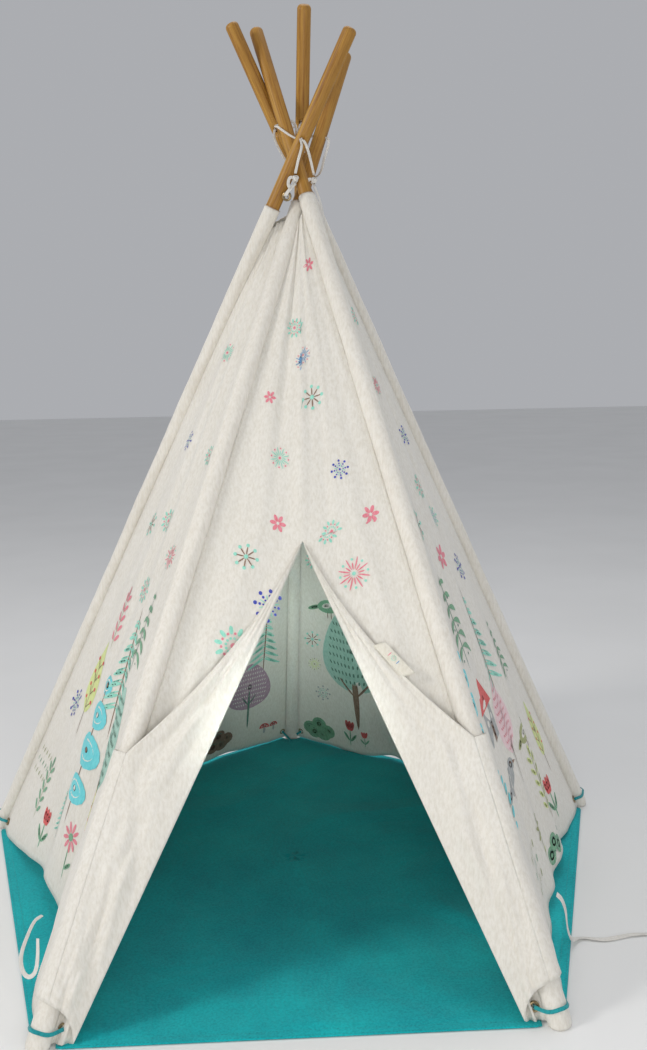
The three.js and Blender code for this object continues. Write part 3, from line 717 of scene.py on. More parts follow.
def make_panel_seams(name):
    """Two rows of stitches beside each sleeve, and on a panel without the door two along the hem."""
    marks = Marks()
    if name == "front":
        front_seams(marks)
    else:
        levels = even(0.02, PANELS[name][2] - 0.01, 90)
        widths = [max((panel_at(name, 0, s) - panel_at(name, 1, s)).length, 0.02) for s in levels]
        low_levels = [max(s, HEM_AT) for s in levels]
        for edge, away in ((0, 1), (1, -1)):
            for distance in SEAM_ROWS:
                us = [edge + away * distance / width for width in widths]
                marks.seam(*panel_line(name, us, low_levels))
        us = even(0.02, 0.98, 70)
        for up in HEM_ROWS:
            marks.seam(*panel_line(name, us, [hem_of(name, u) + up for u in us]))
    return marks.make(f"{name}_stitches", [thread])


def front_seams(marks):
    halves = front_halves()
    for side, door in doors.items():
        for share in FRONT_SEAM_ROWS:
            places = []
            for s, inner in halves[side]:
                if s > 0.02:
                    width = max((door.pole.edge(door.across, s, 0) - inner).length, 0.02)
                    place = front_point(side, s, inner, min(0.5, share * 0.22 / width))
                    places.append(place + OUTWARD["front"] * CLOTH_FACE)
            marks.seam(places, [OUTWARD["front"]] * len(places))


# ---- prints: small folk motifs, drawn flat and laid on the cloth ----
ARC_END = 0.12  # half of an arc's width at its ends, in millimetres


class Motif:
    """A motif's shapes, drawn in shares of its size and kept as (ink, convex outline in millimetres)."""

    def __init__(self, size):
        self.size = size
        self.shapes = []

    def oval(self, x, y, rx, ry, ink, turn=0.0, sides=14):
        rim = []
        for a in around(sides):
            px, py = rx * math.cos(a), ry * math.sin(a)
            rim.append((x + px * math.cos(turn) - py * math.sin(turn),
                        y + px * math.sin(turn) + py * math.cos(turn)))
        self.corners(rim, ink)

    def dot(self, x, y, r, ink):
        self.oval(x, y, r, r, ink, sides=10)

    def corners(self, points, ink):
        self.shapes.append((ink, [(x * self.size, y * self.size) for x, y in points]))

    def line(self, x0, y0, x1, y1, width, ink):
        length = math.hypot(x1 - x0, y1 - y0)
        self.oval((x0 + x1) / 2, (y0 + y1) / 2, length / 2, width / 2, ink, math.atan2(y1 - y0, x1 - x0), 10)

    def arc(self, x, y, rx, ry, start, end, width, ink, steps=9):
        """A curved stroke, thickest in its middle."""
        inner, outer = [], []
        for k in range(steps + 1):
            a = math.radians(lerp(start, end, k / steps))
            half = width * math.sin(math.pi * (k + 0.35) / (steps + 0.7)) / 2 + ARC_END / self.size
            inner.append((x + (rx - half) * math.cos(a), y + (ry - half) * math.sin(a)))
            outer.append((x + (rx + half) * math.cos(a), y + (ry + half) * math.sin(a)))
        for k in range(steps):
            self.corners([inner[k], outer[k], outer[k + 1], inner[k + 1]], ink)


def floret(m, ink="pink", other="white"):
    for a in around(6):
        m.oval(*polar(0.58, a), 0.42, 0.22, ink, a)
    m.dot(0, 0, 0.16, other)


def rosette(m, ink="mint", other="pink"):
    for a in around(10):
        m.oval(*polar(0.78, a), 0.22, 0.11, ink, a, 10)
    for a in around(10, 0.5):
        m.dot(*polar(0.62, a), 0.07, other)
    for a in around(12):
        m.dot(*polar(0.38, a), 0.07, ink)
    m.dot(0, 0, 0.15, other)


def asterisk(m, ink="mint", other="brown"):
    for a in around(8):
        m.line(*polar(0.15, a), *polar(0.8, a), 0.1, other)
        m.dot(*polar(0.86, a), 0.14, ink)
    m.dot(0, 0, 0.17, ink)


def starburst(m, ink="mint", other="pink"):
    for k, a in enumerate(around(16)):
        reach = 1.0 if k % 2 else 0.66
        m.line(*polar(0.22, a), *polar(reach, a), 0.09, ink)
        if k % 2 == 0:
            m.dot(*polar(0.84, a), 0.08, other)
    m.dot(0, 0, 0.12, other)


def dot_star(m, ink="navy", other="mint"):
    for a in around(8):
        for share, size in ((0.36, 0.06), (0.58, 0.085), (0.86, 0.12)):
            m.dot(*polar(share, a), size, ink)
    for a in around(8, 0.5):
        m.line(*polar(0.2, a), *polar(0.66, a), 0.06, other)
    m.dot(0, 0, 0.12, ink)


def fir(m, ink="green", other="dark"):
    tiers = 6
    m.line(0, -0.5, 0, 0.46, 0.022, other)
    for k in range(tiers):
        y = -0.34 + k * 0.78 / (tiers - 0.4)
        reach = 0.28 * (1 - k / (tiers + 0.7))
        for a, b in ((15, 88), (92, 165)):
            m.arc(0, y - reach * 0.35, reach, reach * 0.62, a, b, 0.055, ink)
        if k % 2 == 0:
            m.dot(-reach * 0.45, y - reach * 0.1, 0.014, other)
            m.dot(reach * 0.45, y - reach * 0.1, 0.014, other)


def straight_fir(m, ink="mint", other="brown"):
    tiers = 8
    m.line(0, -0.5, 0, 0.5, 0.018, other)
    for k in range(tiers):
        y = -0.36 + k * 0.8 / tiers
        reach = 0.22 * (1 - k / (tiers + 1))
        for side in (-1, 1):
            m.line(0, y + reach * 0.5, side * reach, y, 0.03, ink)
            m.line(0, y + reach * 0.5 + 0.03, side * reach * 0.8, y + 0.035, 0.014, ink)


def oval_tree(m, ink="turquoise", other="brown"):
    m.line(0, -0.5, 0, 0.42, 0.018, other)
    for k, (y, size) in enumerate(((0.34, 0.09), (0.16, 0.13), (-0.05, 0.16), (-0.28, 0.13))):
        m.oval(0, y, size, size * 0.62, ink)
        m.arc(0, y, size * 0.6, size * 0.34, 10, 350, 0.012, "white", 16)
        m.dot(0, y, 0.016, "white" if k % 2 else other)


def crown(m, ink, dash, wide=0.25):
    """A filled, drop-shaped crown with rows of small dashes that lean outward."""
    rim = []
    for a in around(28):
        rim.append((wide * math.sin(a) * (1 - 0.28 * math.cos(a)), 0.13 + 0.33 * math.cos(a)))
    m.corners(rim, ink)
    for row in range(9):
        y = -0.12 + row * 0.062
        half = wide * 0.86 * math.sqrt(max(0, 1 - ((y - 0.08) / 0.36) ** 2))
        count = max(1, round(half / 0.036))
        for k in range(-count, count + 1):
            x = half * k / count * 0.9
            m.oval(x, y, 0.016, 0.0065, dash, math.pi / 2 - x * 3.2, 8)


def dash_tree(m, ink="pink", other="brown"):
    crown(m, {"dark": "sage", "pink": "pale_pink"}.get(ink, ink), "dark" if ink == "dark" else ink)
    for k in range(5):
        m.line(0, -0.5, (k - 2) * 0.008, -0.12, 0.022, other)
    for side in (-1, 1):
        m.line(0, -0.24, side * 0.12, -0.1, 0.016, other)


def blob_tree(m, ink="mauve", other="dark"):
    crown(m, ink, "white", 0.3)
    m.line(0.01, -0.5, 0, 0.1, 0.03, other)
    for side in (-1, 1):
        m.line(0, -0.14, side * 0.1, 0, 0.018, other)


def leaf_tree(m, ink="turquoise", other="brown"):
    m.line(0, -0.5, 0, 0.44, 0.024, other)
    for k in range(7):
        y = -0.22 + k * 0.1
        reach = 0.2 * math.sin(math.pi * (k + 1.6) / 9)
        for side in (-1, 1):
            m.line(0, y, side * reach, y + reach * 0.55, 0.012, other)
            m.oval(side * reach, y + reach * 0.6, 0.05, 0.024, ink, side * 0.9)
    m.oval(0, 0.48, 0.024, 0.05, ink)


def sprig(m, ink="pink", other="olive"):
    m.line(0, -0.5, 0, 0.4, 0.02, other)
    for k in range(5):
        for side in (-1, 1):
            m.oval(side * 0.1, -0.28 + k * 0.16, 0.09, 0.035, ink, side * 0.75)
    m.oval(0, 0.46, 0.035, 0.09, ink)


def drop_tree(m, ink="lime", other="red"):
    rim = [(0.2 * math.sin(a) * abs(math.sin(a / 2)) ** 0.7, 0.12 + 0.36 * math.cos(a)) for a in around(28)]
    m.corners(rim, ink)
    m.line(0, -0.5, 0, 0.3, 0.02, "brown")
    for k in range(4):
        for side in (-1, 1):
            m.line(0, -0.2 + 0.13 * k, side * 0.1, -0.12 + 0.13 * k, 0.012, "brown")
            m.dot(side * 0.11, -0.11 + 0.13 * k, 0.02, other)


def tulip(m, ink="red", other="green"):
    m.line(0, -0.5, 0, 0.2, 0.05, other)
    m.oval(-0.14, -0.15, 0.19, 0.05, other, 2.2)
    m.oval(0.14, -0.15, 0.19, 0.05, other, 0.95)
    for side in (-1, 0, 1):
        m.oval(side * 0.1, 0.3, 0.075, 0.2, ink, -side * 0.25)


def mushroom(m, ink="red", other="white"):
    m.oval(0, -0.2, 0.1, 0.3, "grey")
    m.corners([polar(0.42, a) for a in even(0, math.pi, 12)], ink)
    for x, y in ((-0.2, 0.14), (0.02, 0.26), (0.22, 0.12)):
        m.dot(x, y, 0.05, other)


def house(m, ink="red", other="grey"):
    m.corners([(-0.3, -0.5), (0.3, -0.5), (0.3, 0), (-0.3, 0)], other)
    m.corners([(-0.4, 0), (0.4, 0), (0, 0.45)], ink)
    m.corners([(-0.07, -0.5), (0.1, -0.5), (0.1, -0.2), (-0.07, -0.2)], "brown")
    m.dot(-0.18, -0.18, 0.05, "white")
    m.dot(0.2, -0.18, 0.05, "white")


def bird(m, ink="olive", other="brown"):
    m.oval(0, 0, 0.42, 0.24, ink, 0.2)
    m.oval(0.36, 0.22, 0.15, 0.14, ink)
    m.oval(-0.52, -0.1, 0.24, 0.08, ink, 0.3)
    m.corners([(0.48, 0.26), (0.66, 0.2), (0.48, 0.17)], other)
    m.oval(-0.05, 0.02, 0.2, 0.09, "white", 0.35)
    m.dot(0.38, 0.25, 0.025, other)
    m.line(-0.02, -0.2, -0.02, -0.44, 0.035, other)
    m.line(0.12, -0.18, 0.12, -0.44, 0.035, other)


def flower(m, ink="olive", other="lime"):
    m.line(0, -0.5, 0, 0.2, 0.03, other)
    for a in around(9):
        m.oval(0.17 * math.cos(a), 0.28 + 0.17 * math.sin(a), 0.1, 0.035, ink, a)
    m.dot(0, 0.28, 0.07, other)
    m.oval(0.12, -0.2, 0.14, 0.04, other, 0.7)


def shrub(m, ink="green", other="dark"):
    for x, y in ((-0.3, -0.1), (0, 0.1), (0.3, -0.1), (-0.15, -0.2), (0.16, -0.22)):
        m.oval(x, y, 0.24, 0.22, ink)
        m.arc(x, y, 0.14, 0.12, 20, 160, 0.03, other, 6)


def dashes(m, ink="green", other="olive"):
    for k in range(5):
        for row in range(3):
            m.line((k - 2) * 0.2, (row - 1) * 0.3, (k - 2) * 0.2 + 0.03, (row - 1) * 0.3 + 0.16,
                   0.035, ink if row % 2 else other)


TALL = 36
TALL_SCALE = 2.1
SMALL_SCALE = 1.5
TOP_LAYER = 12
RING_STEP = 9  # millimetres
SIDE_MARGIN = 0.02  # a share of the panel's width
EDGE_MARGIN = 0.004
DOOR_MARGIN = 0.003

# (motif, size in mm, share across the panel, height up the poles in metres, inks other than its usual ones)
PRINTS = {
    "front": [
        (floret, 9, 0.26, 1.33), (rosette, 12, 0.60, 1.23), (asterisk, 15, 0.40, 1.09),
        (starburst, 13, 0.66, 1.00), (dot_star, 12, 0.25, 0.95), (floret, 10, 0.64, 0.89),
        (rosette, 13, 0.34, 0.85), (asterisk, 15, 0.79, 0.82), (starburst, 19, 0.24, 0.77, "pink", "mint"),
        (dot_star, 19, 0.66, 0.75), (rosette, 22, 0.78, 0.67), (floret, 11, 0.12, 0.86),
        (starburst, 11, 0.48, 1.17, "blue"), (floret, 8, 0.80, 1.10),
    ],
    "side_right": [
        (rosette, 13, 0.45, 1.22), (dot_star, 14, 0.34, 0.97), (starburst, 13, 0.66, 1.08, "pink", "mint"),
        (rosette, 17, 0.54, 0.87), (dot_star, 15, 0.40, 0.80, "mint", "blue"), (asterisk, 20, 0.76, 0.81),
        (floret, 17, 0.58, 0.73), (dot_star, 20, 0.30, 0.68), (starburst, 16, 0.86, 0.92, "blue"),
        (fir, 95, 0.70, 0.62), (straight_fir, 120, 0.44, 0.53), (fir, 75, 0.22, 0.48),
        (house, 62, 0.66, 0.44), (dash_tree, 110, 0.50, 0.36), (bird, 38, 0.34, 0.31),
        (bird, 44, 0.64, 0.29, "grey"), (sprig, 75, 0.36, 0.20, "lime"), (tulip, 48, 0.22, 0.12),
        (tulip, 40, 0.30, 0.09), (flower, 60, 0.52, 0.12), (leaf_tree, 105, 0.80, 0.24),
        (drop_tree, 90, 0.12, 0.24), (dashes, 46, 0.66, 0.12), (shrub, 40, 0.42, 0.08),
        (mushroom, 26, 0.90, 0.10), (oval_tree, 105, 0.90, 0.50),
    ],
    "side_left": [
        (starburst, 13, 0.50, 1.18), (rosette, 13, 0.20, 0.98), (dot_star, 14, 0.62, 1.00),
        (rosette, 16, 0.48, 0.84), (starburst, 17, 0.26, 0.78, "pink", "mint"), (asterisk, 17, 0.74, 0.82),
        (rosette, 18, 0.46, 0.70), (sprig, 62, 0.62, 0.62), (fir, 80, 0.28, 0.64),
        (straight_fir, 125, 0.40, 0.54), (drop_tree, 105, 0.68, 0.46), (oval_tree, 165, 0.50, 0.38),
        (dash_tree, 135, 0.26, 0.40, "dark"), (dot_star, 22, 0.82, 0.40), (sprig, 70, 0.80, 0.19, "green"),
        (straight_fir, 60, 0.60, 0.20), (drop_tree, 90, 0.32, 0.26, "yellow"),
        (flower, 52, 0.44, 0.17, "pink", "green"), (tulip, 44, 0.70, 0.13), (dashes, 42, 0.90, 0.22),
    ],
    "back_left": [
        (rosette, 15, 0.50, 1.02), (starburst, 15, 0.30, 0.84, "pink", "mint"), (dot_star, 17, 0.72, 0.80),
        (asterisk, 17, 0.52, 0.68), (floret, 13, 0.86, 0.56), (fir, 95, 0.20, 0.50),
        (straight_fir, 110, 0.88, 0.37), (oval_tree, 120, 0.42, 0.42), (blob_tree, 108, 0.82, 0.20),
        (mushroom, 26, 0.90, 0.07), (mushroom, 22, 0.94, 0.07), (shrub, 46, 0.70, 0.08, "brown"),
        (drop_tree, 100, 0.60, 0.26), (dash_tree, 110, 0.26, 0.24), (bird, 38, 0.50, 0.11),
        (tulip, 42, 0.12, 0.12),
    ],
    "back_right": [
        (rosette, 16, 0.50, 1.04), (dot_star, 15, 0.34, 0.86), (starburst, 17, 0.70, 0.80, "pink", "mint"),
        (rosette, 17, 0.08, 0.60), (bird, 40, 0.16, 0.47, "green"), (dash_tree, 190, 0.28, 0.30, "dark"),
        (asterisk, 17, 0.07, 0.36), (starburst, 14, 0.08, 0.28, "lime", "olive"),
        (dot_star, 17, 0.12, 0.19, "grey"), (leaf_tree, 80, 0.44, 0.22, "olive"), (shrub, 48, 0.10, 0.07),
        (tulip, 40, 0.24, 0.08), (tulip, 34, 0.30, 0.07), (fir, 120, 0.62, 0.40),
        (straight_fir, 120, 0.82, 0.32), (flower, 55, 0.56, 0.11, "pink", "green"),
        (drop_tree, 95, 0.74, 0.15, "yellow"), (house, 55, 0.88, 0.13),
    ],
}


def make_prints(name):
    """The panel's motifs, on its outer face, or on both faces of a back panel, where the inside shows."""
    marks = Marks()
    for draw, size, u, s, *row_inks in PRINTS[name]:
        motif = Motif(size * (TALL_SCALE if size >= TALL else SMALL_SCALE))
        draw(motif, *row_inks)
        for face in (1, -1) if name.startswith("back") else (1,):
            place_motif(marks, name, motif, u, s, face)
    return marks.make(f"{name}_prints", list(inks.values()), smooth=True)


def place_motif(marks, name, motif, u, s, face):
    """Lays a motif's shapes on the cloth, leaving out those that would pass an edge of it."""
    first, second = poles[PANELS[name][0]], poles[PANELS[name][1]]
    width = (second.at(s) - first.at(s)).length
    surface = front_at if name == "front" else partial(panel_at, name)

    def flat(x, y):
        return u - face * x / 1000 / width, s + y / 1000

    def laid(x, y, lift):
        place = flat(x, y)
        return surface(*place) + panel_normal(name, *place) * face * lift

    for layer, (ink, rim) in enumerate(motif.shapes):
        places = [flat(x, y) for x, y in rim]
        if name == "front" and any(past_door(*place) for place in places):
            continue
        if any(not SIDE_MARGIN < across < 1 - SIDE_MARGIN or up < hem_of(name, across) + EDGE_MARGIN
               for across, up in places):
            continue
        lift = PRINT_FACE + LAYER_FACE * min(layer, TOP_LAYER)
        mx, my = (sum(values) / len(rim) for values in zip(*rim))
        steps = max(1, round(max(math.hypot(x - mx, y - my) for x, y in rim) / RING_STEP))
        rims = [[laid(lerp(mx, x, k / steps), lerp(my, y, k / steps), lift) for x, y in rim]
                for k in range(1, steps + 1)]
        marks.rings(laid(mx, my, lift), rims, INK_NAMES.index(ink))


def past_door(u, s):
    """Whether a place on the front panel lies in the door's opening."""
    door = doors["right" if u < 0.5 else "left"]
    if s >= door.apex_s:
        return False
    base = door.pole.at(s)
    reach = (door.fold(s) - base).dot(door.pole.towards(door.across, s))
    return min(u, 1 - u) * (door.across.at(s) - base).length > reach - DOOR_MARGIN


def front_at(u, s):
    """The front panel's surface at a share u from the right sleeve to the left one."""
    side = "right" if u < 0.5 else "left"
    door = doors[side]
    share = u if side == "right" else 1 - u
    inner = door_side_of(door, s)
    if s >= door.apex_s:
        return front_point(side, s, inner, share * 2)
    full = (door.across.at(s) - door.pole.at(s)).length
    reach = (inner - door.pole.edge(door.across, s, 0)).length
    return front_point(side, s, inner, share * full / max(0.01, reach))


# ---- door flaps: cloth folded outward along the door's edge and drawn round the front sleeve ----
WRAP_LOW = 0.02
WRAP_REACH = 0.030
WRAP_BULGE = 0.066


def wrap_path(door, s):
    """A line square to the pole: from the folded edge over the sleeve and back along the side panel."""
    in_front, in_side, front = door.directions(s)
    base = door.pole.at(s)
    fold = door.fold(s) - base
    side_angle = math.atan2(in_side.dot(front), in_side.dot(in_front))
    radius = door.pole.radius(s) + FLAP_WRAP_GAP
    share = min(1, max(0, (s - WRAP_LOW) / (SLIT_AT - WRAP_LOW)))
    reach = WRAP_REACH + WRAP_BULGE * math.sin(math.pi * share ** 0.7)
    side_normal = side_angle + 1.5 * math.pi
    flat = [(fold.dot(in_front), fold.dot(front) + FLAP_LIFT)]
    flat += [polar(radius, math.radians(degrees)) for degrees in range(20, 231, 7)]
    flat.append((
        reach * math.cos(side_angle) + FLAP_LIFT * math.cos(side_normal),
        reach * math.sin(side_angle) + FLAP_LIFT * math.sin(side_normal),
    ))
    hull = []
    for place in flat:
        while len(hull) > 1:
            (ax, ay), (bx, by) = hull[-2:]
            if (bx - ax) * (place[1] - by) - (by - ay) * (place[0] - bx) > 0:
                break
            hull.pop()
        hull.append(place)
    lengths = list(accumulate((math.dist(a, b) for a, b in zip(hull, hull[1:])), initial=0.0))
    ridge = next((k for k in range(1, len(hull)) if hull[k][1] < hull[k - 1][1]), len(hull) - 1) - 1

    def at(distance, rise):
        k, t = step_at(lengths, distance)
        x, y = lerp(hull[k][0], hull[k + 1][0], t), lerp(hull[k][1], hull[k + 1][1], t)
        nx, ny = hull[k + 1][1] - hull[k][1], hull[k][0] - hull[k + 1][0]
        lift = rise * (1 - math.exp(-distance / HEM_RISE_LENGTH))
        normal = (in_front * nx + front * ny).normalized()
        return base + in_front * x + front * y + door.pole.axis * lift, normal

    return at, lengths[ridge], lengths[-1]


def flap_folds(side, across, up, loose):
    """Soft creases in the tied-back cloth, drawn towards the tie on the sleeve."""
    seed = 31.0 if side == "left" else 47.0
    pull = ripple(across * 3.2 + up * 2.2, up * 5.0 - across * 2.4, seed)
    fine = ripple(across * 9 - up * 5, up * 9 + across * 4, seed + 9)
    return loose * (0.0085 * (pull + 0.35) + 0.0026 * fine)


def hem_rise(s):
    return HEM_RISE * (1 - (s - FOLD_START) / (SLIT_AT - FOLD_START))


def flap_row(side, s, count):
    """Places across the flap's front part, from the folded edge to the sleeve or the free edge."""
    door = doors[side]
    row = []
    if s <= SLIT_AT:
        at, ridge, _ = wrap_path(door, s)
        for t in even(0, 1, count):
            place, normal = at(ridge * t, hem_rise(s))
            row.append((place + normal * flap_folds(side, t, s * 2.2, math.sin(math.pi * t)), normal))
        return row
    in_front, _, front = door.directions(s)
    base = door.pole.at(s)
    fold = door.fold(s) - base
    apex_place = (APEX - door.pole.at(door.apex_s)).dot(in_front)
    share = (s - SLIT_AT) / (door.apex_s - SLIT_AT)
    free = lerp(0, apex_place, share) + SLIT_SAG * 4 * share * (1 - share)
    ridge = door.pole.radius(s) + FLAP_WRAP_GAP
    free_lift = lerp(ridge, FLAP_LIFT, min(1, share * 1.6))
    for t in even(0, 1, count):
        lift = fold.dot(front) + lerp(FLAP_LIFT, free_lift, t)
        place = base + in_front * lerp(fold.dot(in_front), free, t) + front * lift
        loose = math.sin(math.pi * min(1, t * 0.8)) * (1 - share) ** 0.5
        row.append((place + front * flap_folds(side, t, s * 2.2, loose), front))
    return row


FLAP_ACROSS = 40
FLAP_ROWS, FREE_ROWS = 54, 34
WRAP_ACROSS = 30
SQUASH_AT = 0.3
FOLD_ROLL = 6


def make_flap_front(side):
    """The flap's front part, starting in a soft roll along the folded edge."""
    door = doors[side]
    vertices = []
    rows = even(FOLD_START, SLIT_AT, FLAP_ROWS) + even(SLIT_AT, door.apex_s * 0.992, FREE_ROWS)[1:]
    for s in rows:
        row = flap_row(side, s, FLAP_ACROSS)
        first, normal = row[0]
        inward = (first - row[1][0]).normalized()
        for k in range(FOLD_ROLL):
            x, y = polar(FLAP_LIFT / 2, math.pi * (FOLD_ROLL - k) / FOLD_ROLL)
            vertices.append(first + normal * (x - FLAP_LIFT / 2) + inward * y)
        vertices += [place for place, _ in row]
    faces = grid_faces(len(rows), FLAP_ACROSS + FOLD_ROLL)
    return thicken(from_data(f"{side}_door_flap", vertices, faces, [canvas]), CLOTH)


def make_flap_wrap(side):
    """The part that is drawn round the sleeve."""
    vertices = []
    for s in even(FOLD_START, SLIT_AT, FLAP_ROWS):
        at, ridge, end = wrap_path(doors[side], s)
        for c in range(WRAP_ACROSS):
            t = c / (WRAP_ACROSS - 1)
            place, normal = at(lerp(ridge - 0.0004, end, t), hem_rise(s))
            crease = flap_folds(side, 1 + t, s * 2.2, math.sin(math.pi * t) ** 0.8)
            vertices.append(place + normal * (0.4 * crease + 0.002 * t * t))
    faces = grid_faces(FLAP_ROWS, WRAP_ACROSS)
    return thicken(from_data(f"{side}_flap_wrap", vertices, faces, [canvas]), CLOTH)


def make_flap_seams(side):
    """Two rows of stitches along the free edge, and one along the hem."""
    marks = Marks()
    levels = even(SLIT_AT + 0.004, doors[side].apex_s * 0.97, 40)
    lines = [[flap_row(side, s, FLAP_ACROSS)[-inset] for s in levels] for inset in (2, 5)]
    for line in [*lines, flap_row(side, FOLD_START + 0.012, FLAP_ACROSS)]:
        marks.seam([p + n * CLOTH_FACE for p, n in line], [n for _, n in line])
    return marks.make(f"{side}_flap_stitches", [thread])


def squash_flap(obj, door):
    tuple(door.pole.at(SQUASH_AT))
    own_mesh(obj)


def make_flap(side):
    flap, wrap, seams = make_flap_front(side), make_flap_wrap(side), make_flap_seams(side)
    dress(flap, f"flap_{side}", f"door_flap_{side}")
    dress(seams, f"flap_{side}")
    dress(wrap, f"flap_{side}_wrap", f"door_flap_{side}_wrap")
    for obj in (flap, seams, wrap):
        squash_flap(obj, doors[side])


# ---- the label on the right flap's free edge ----
TAG_LOW, TAG_HIGH = 0.32, 0.48
LABEL_MOTIF = 5  # millimetres
LABEL_CLOTH = 0.0007
LABEL_LIFT = 0.0026
LABEL_CURL = 0.002
LABEL_ACROSS = (0.004, -0.018)


def make_label():
    door = doors["right"]
    rows, columns = 18, 10
    vertices = []
    for s in even(lerp(SLIT_AT, door.apex_s, TAG_LOW), lerp(SLIT_AT, door.apex_s, TAG_HIGH), rows):
        (inner, _), (edge, front) = flap_row("right", s, 2)
        inward = (inner - edge).normalized()
        if not vertices:
            normal = front
        for t in even(0, 1, columns):
            lift = LABEL_LIFT + LABEL_CURL * math.sin(math.pi * t) * math.sin(3 * t)
            vertices.append(edge + front * lift + inward * lerp(*LABEL_ACROSS, t))
    tag = thicken(from_data("woven_label", vertices, grid_faces(rows, columns), [label_cloth]), LABEL_CLOTH)

    marks = Marks()
    places = [vertices[round(v * (rows - 1)) * columns + 1] + normal * 0.0006 for v in even(0.04, 0.96, 18)]
    marks.seam(places, [normal] * len(places), pitch=0.003)
    stitches = marks.make("label_stitches", [thread])

    motif = Motif(LABEL_MOTIF)
    rosette(motif)
    motif.oval(0, -1.9, 0.84, 0.16, "blue")
    motif.oval(0, 1.9, 0.84, 0.16, "pink")
    marks = Marks()
    middle = vertices[(rows // 2) * columns + columns // 2] + normal * 0.0007
    along = (vertices[-1] - vertices[columns - 1]).normalized()
    level = along.cross(normal).normalized()
    for ink, rim in motif.shapes:
        rim = [middle + level * x / 1000 + along * y / 1000 for x, y in rim]
        marks.rings(sum(rim, Vector()) / len(rim), [rim], INK_NAMES.index(ink))
    motif_piece = marks.make("label_motif", list(inks.values()))

    for obj in (tag, stitches, motif_piece):
        dress(obj, "flap_right")
        squash_flap(obj, door)
    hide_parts("label_tag")


# ---- poles ----
POLE_SIDES, POLE_RINGS = 48, 60
END_ROUND = 0.008
HOLE_SIDES = 24


def make_pole(name):
    pole = poles[name]
    profile = [(0.0, POLE_R - 0.0025), (0.0012, POLE_R - 0.0006), (0.003, POLE_R)]
    profile += [(z, POLE_R) for z in even(0.02, POLE_LENGTH - END_ROUND, POLE_RINGS)]
    for degrees in range(15, 91, 15):
        x, z = polar(END_ROUND, math.radians(degrees))
        profile.append((POLE_LENGTH - END_ROUND + z, POLE_R - END_ROUND + x))
    vertices = []
    for z, radius in profile:
        wobble = 0.00018 * ripple(z * 3, 0, len(name))
        vertices += [Vector((*polar(radius + wobble, a), z)) for a in around(POLE_SIDES)]
    obj = from_data(f"{name}_pole", vertices, tube_faces(len(profile), POLE_SIDES), [woods[name]])
    turn = UP.rotation_difference(pole.axis).to_matrix().to_4x4()
    obj.matrix_world = Matrix.Translation(pole.at(POLE_START)) @ turn
    drill_pole(obj, pole)
    dress(obj, f"pole_{name}", f"pole_{name}")


def drill_pole(obj, pole):
    """The cord hole, square through the pole."""
    vertices = [Vector((*polar(HOLE_R, a), z)) for z in (-0.03, 0.03) for a in around(HOLE_SIDES)]
    drill = from_data("drill", vertices, tube_faces(2, HOLE_SIDES), [])
    turn = UP.rotation_difference(pole.hole_axis()).to_matrix().to_4x4()
    drill.matrix_world = Matrix.Translation(pole.at(pole.hole_at)) @ turn
    cut = obj.modifiers.new("hole", "BOOLEAN")
    cut.operation = "DIFFERENCE"
    cut.solver = "EXACT"
    cut.object = drill
    bpy.context.view_layer.update()
    settle(obj)
    bpy.data.objects.remove(drill)


# ---- sleeves: cloth tubes with a closed foot and an open top ----
SLEEVE_SIDES, SLEEVE_RINGS = 40, 260
# The rounded foot: (place along the pole, share of the sleeve's radius).
SLEEVE_FOOT = [(-0.0085, 0.35), (-0.0075, 0.62), (-0.005, 0.82), (-0.001, 0.93), (0.004, 0.98)]
LINING = 0.93
LINING_DEPTHS = (0.0, 0.004, 0.012)
EDGE_SIDES = 120
FOOT_ROWS = (0.050, 0.056)
TOP_ROWS = (0.016, 0.021)

def sleeve_ring(pole, s, scale, sides, crease=1.0):
    """A ring round the pole, a little wider where the seams run off along the panels."""
    places = []
    for a in around(sides):
        out = pole.side * math.cos(a) + pole.out * math.sin(a)
        slack = ripple(math.cos(a) * 1.6 + s * 2.0, s * 9.0 + math.sin(a), len(pole.name))
        pucker = ripple(a * 1.4, s * 38.0, len(pole.name) + 4)
        wide = 0.0016 * abs(math.cos(a)) ** 3
        radius = pole.radius(s) * scale + wide + crease * (0.0011 * slack + 0.0005 * pucker)
        places.append(pole.at(s) + out * radius)
    return places


def ring_seam(marks, pole, s, middle, sides, lift, **stitches):
    """A closed row of stitches round the sleeve, each facing away from a middle on the pole's axis."""
    ring = sleeve_ring(pole, s, 1.0, sides)
    normals = [(p - pole.at(middle)).normalized() for p in ring]
    ring = [p + n * lift for p, n in zip(ring, normals)]
    marks.seam(ring + ring[:1], normals + normals[:1], **stitches)


def make_sleeve(name):
    pole = poles[name]
    vertices = []
    levels = SLEEVE_FOOT + [(s, 1.0) for s in even(0.010, pole.top, SLEEVE_RINGS)]
    for s, scale in levels:
        vertices += sleeve_ring(pole, s, scale, SLEEVE_SIDES, smoothstep(0, 0.03, s))
    for depth in LINING_DEPTHS:
        vertices += sleeve_ring(pole, pole.top - depth, LINING, SLEEVE_SIDES)
    faces = tube_faces(len(levels) + len(LINING_DEPTHS), SLEEVE_SIDES)[:-1]
    for place in vertices:
        place.z = max(place.z, FLOOR_GAP)
    obj = settle(from_data(f"{name}_sleeve", vertices, faces, [canvas]))
    dress(obj, f"pole_{name}", f"sleeve_{name}")

    marks, rims = Marks(), Marks()
    for s in (*FOOT_ROWS, *(pole.top - depth for depth in TOP_ROWS)):
        ring_seam(marks, pole, s, s, SLEEVE_SIDES, 0.0001, pitch=0.0045)
    ring_seam(rims, pole, pole.top - 0.0006, pole.top, EDGE_SIDES, 0, pitch=0.0016, share=0.92)
    dress(marks.make(f"{name}_sleeve_stitches", [thread]), f"pole_{name}")
    dress(rims.make(f"{name}_sleeve_edge", [tan_thread]), f"pole_{name}")


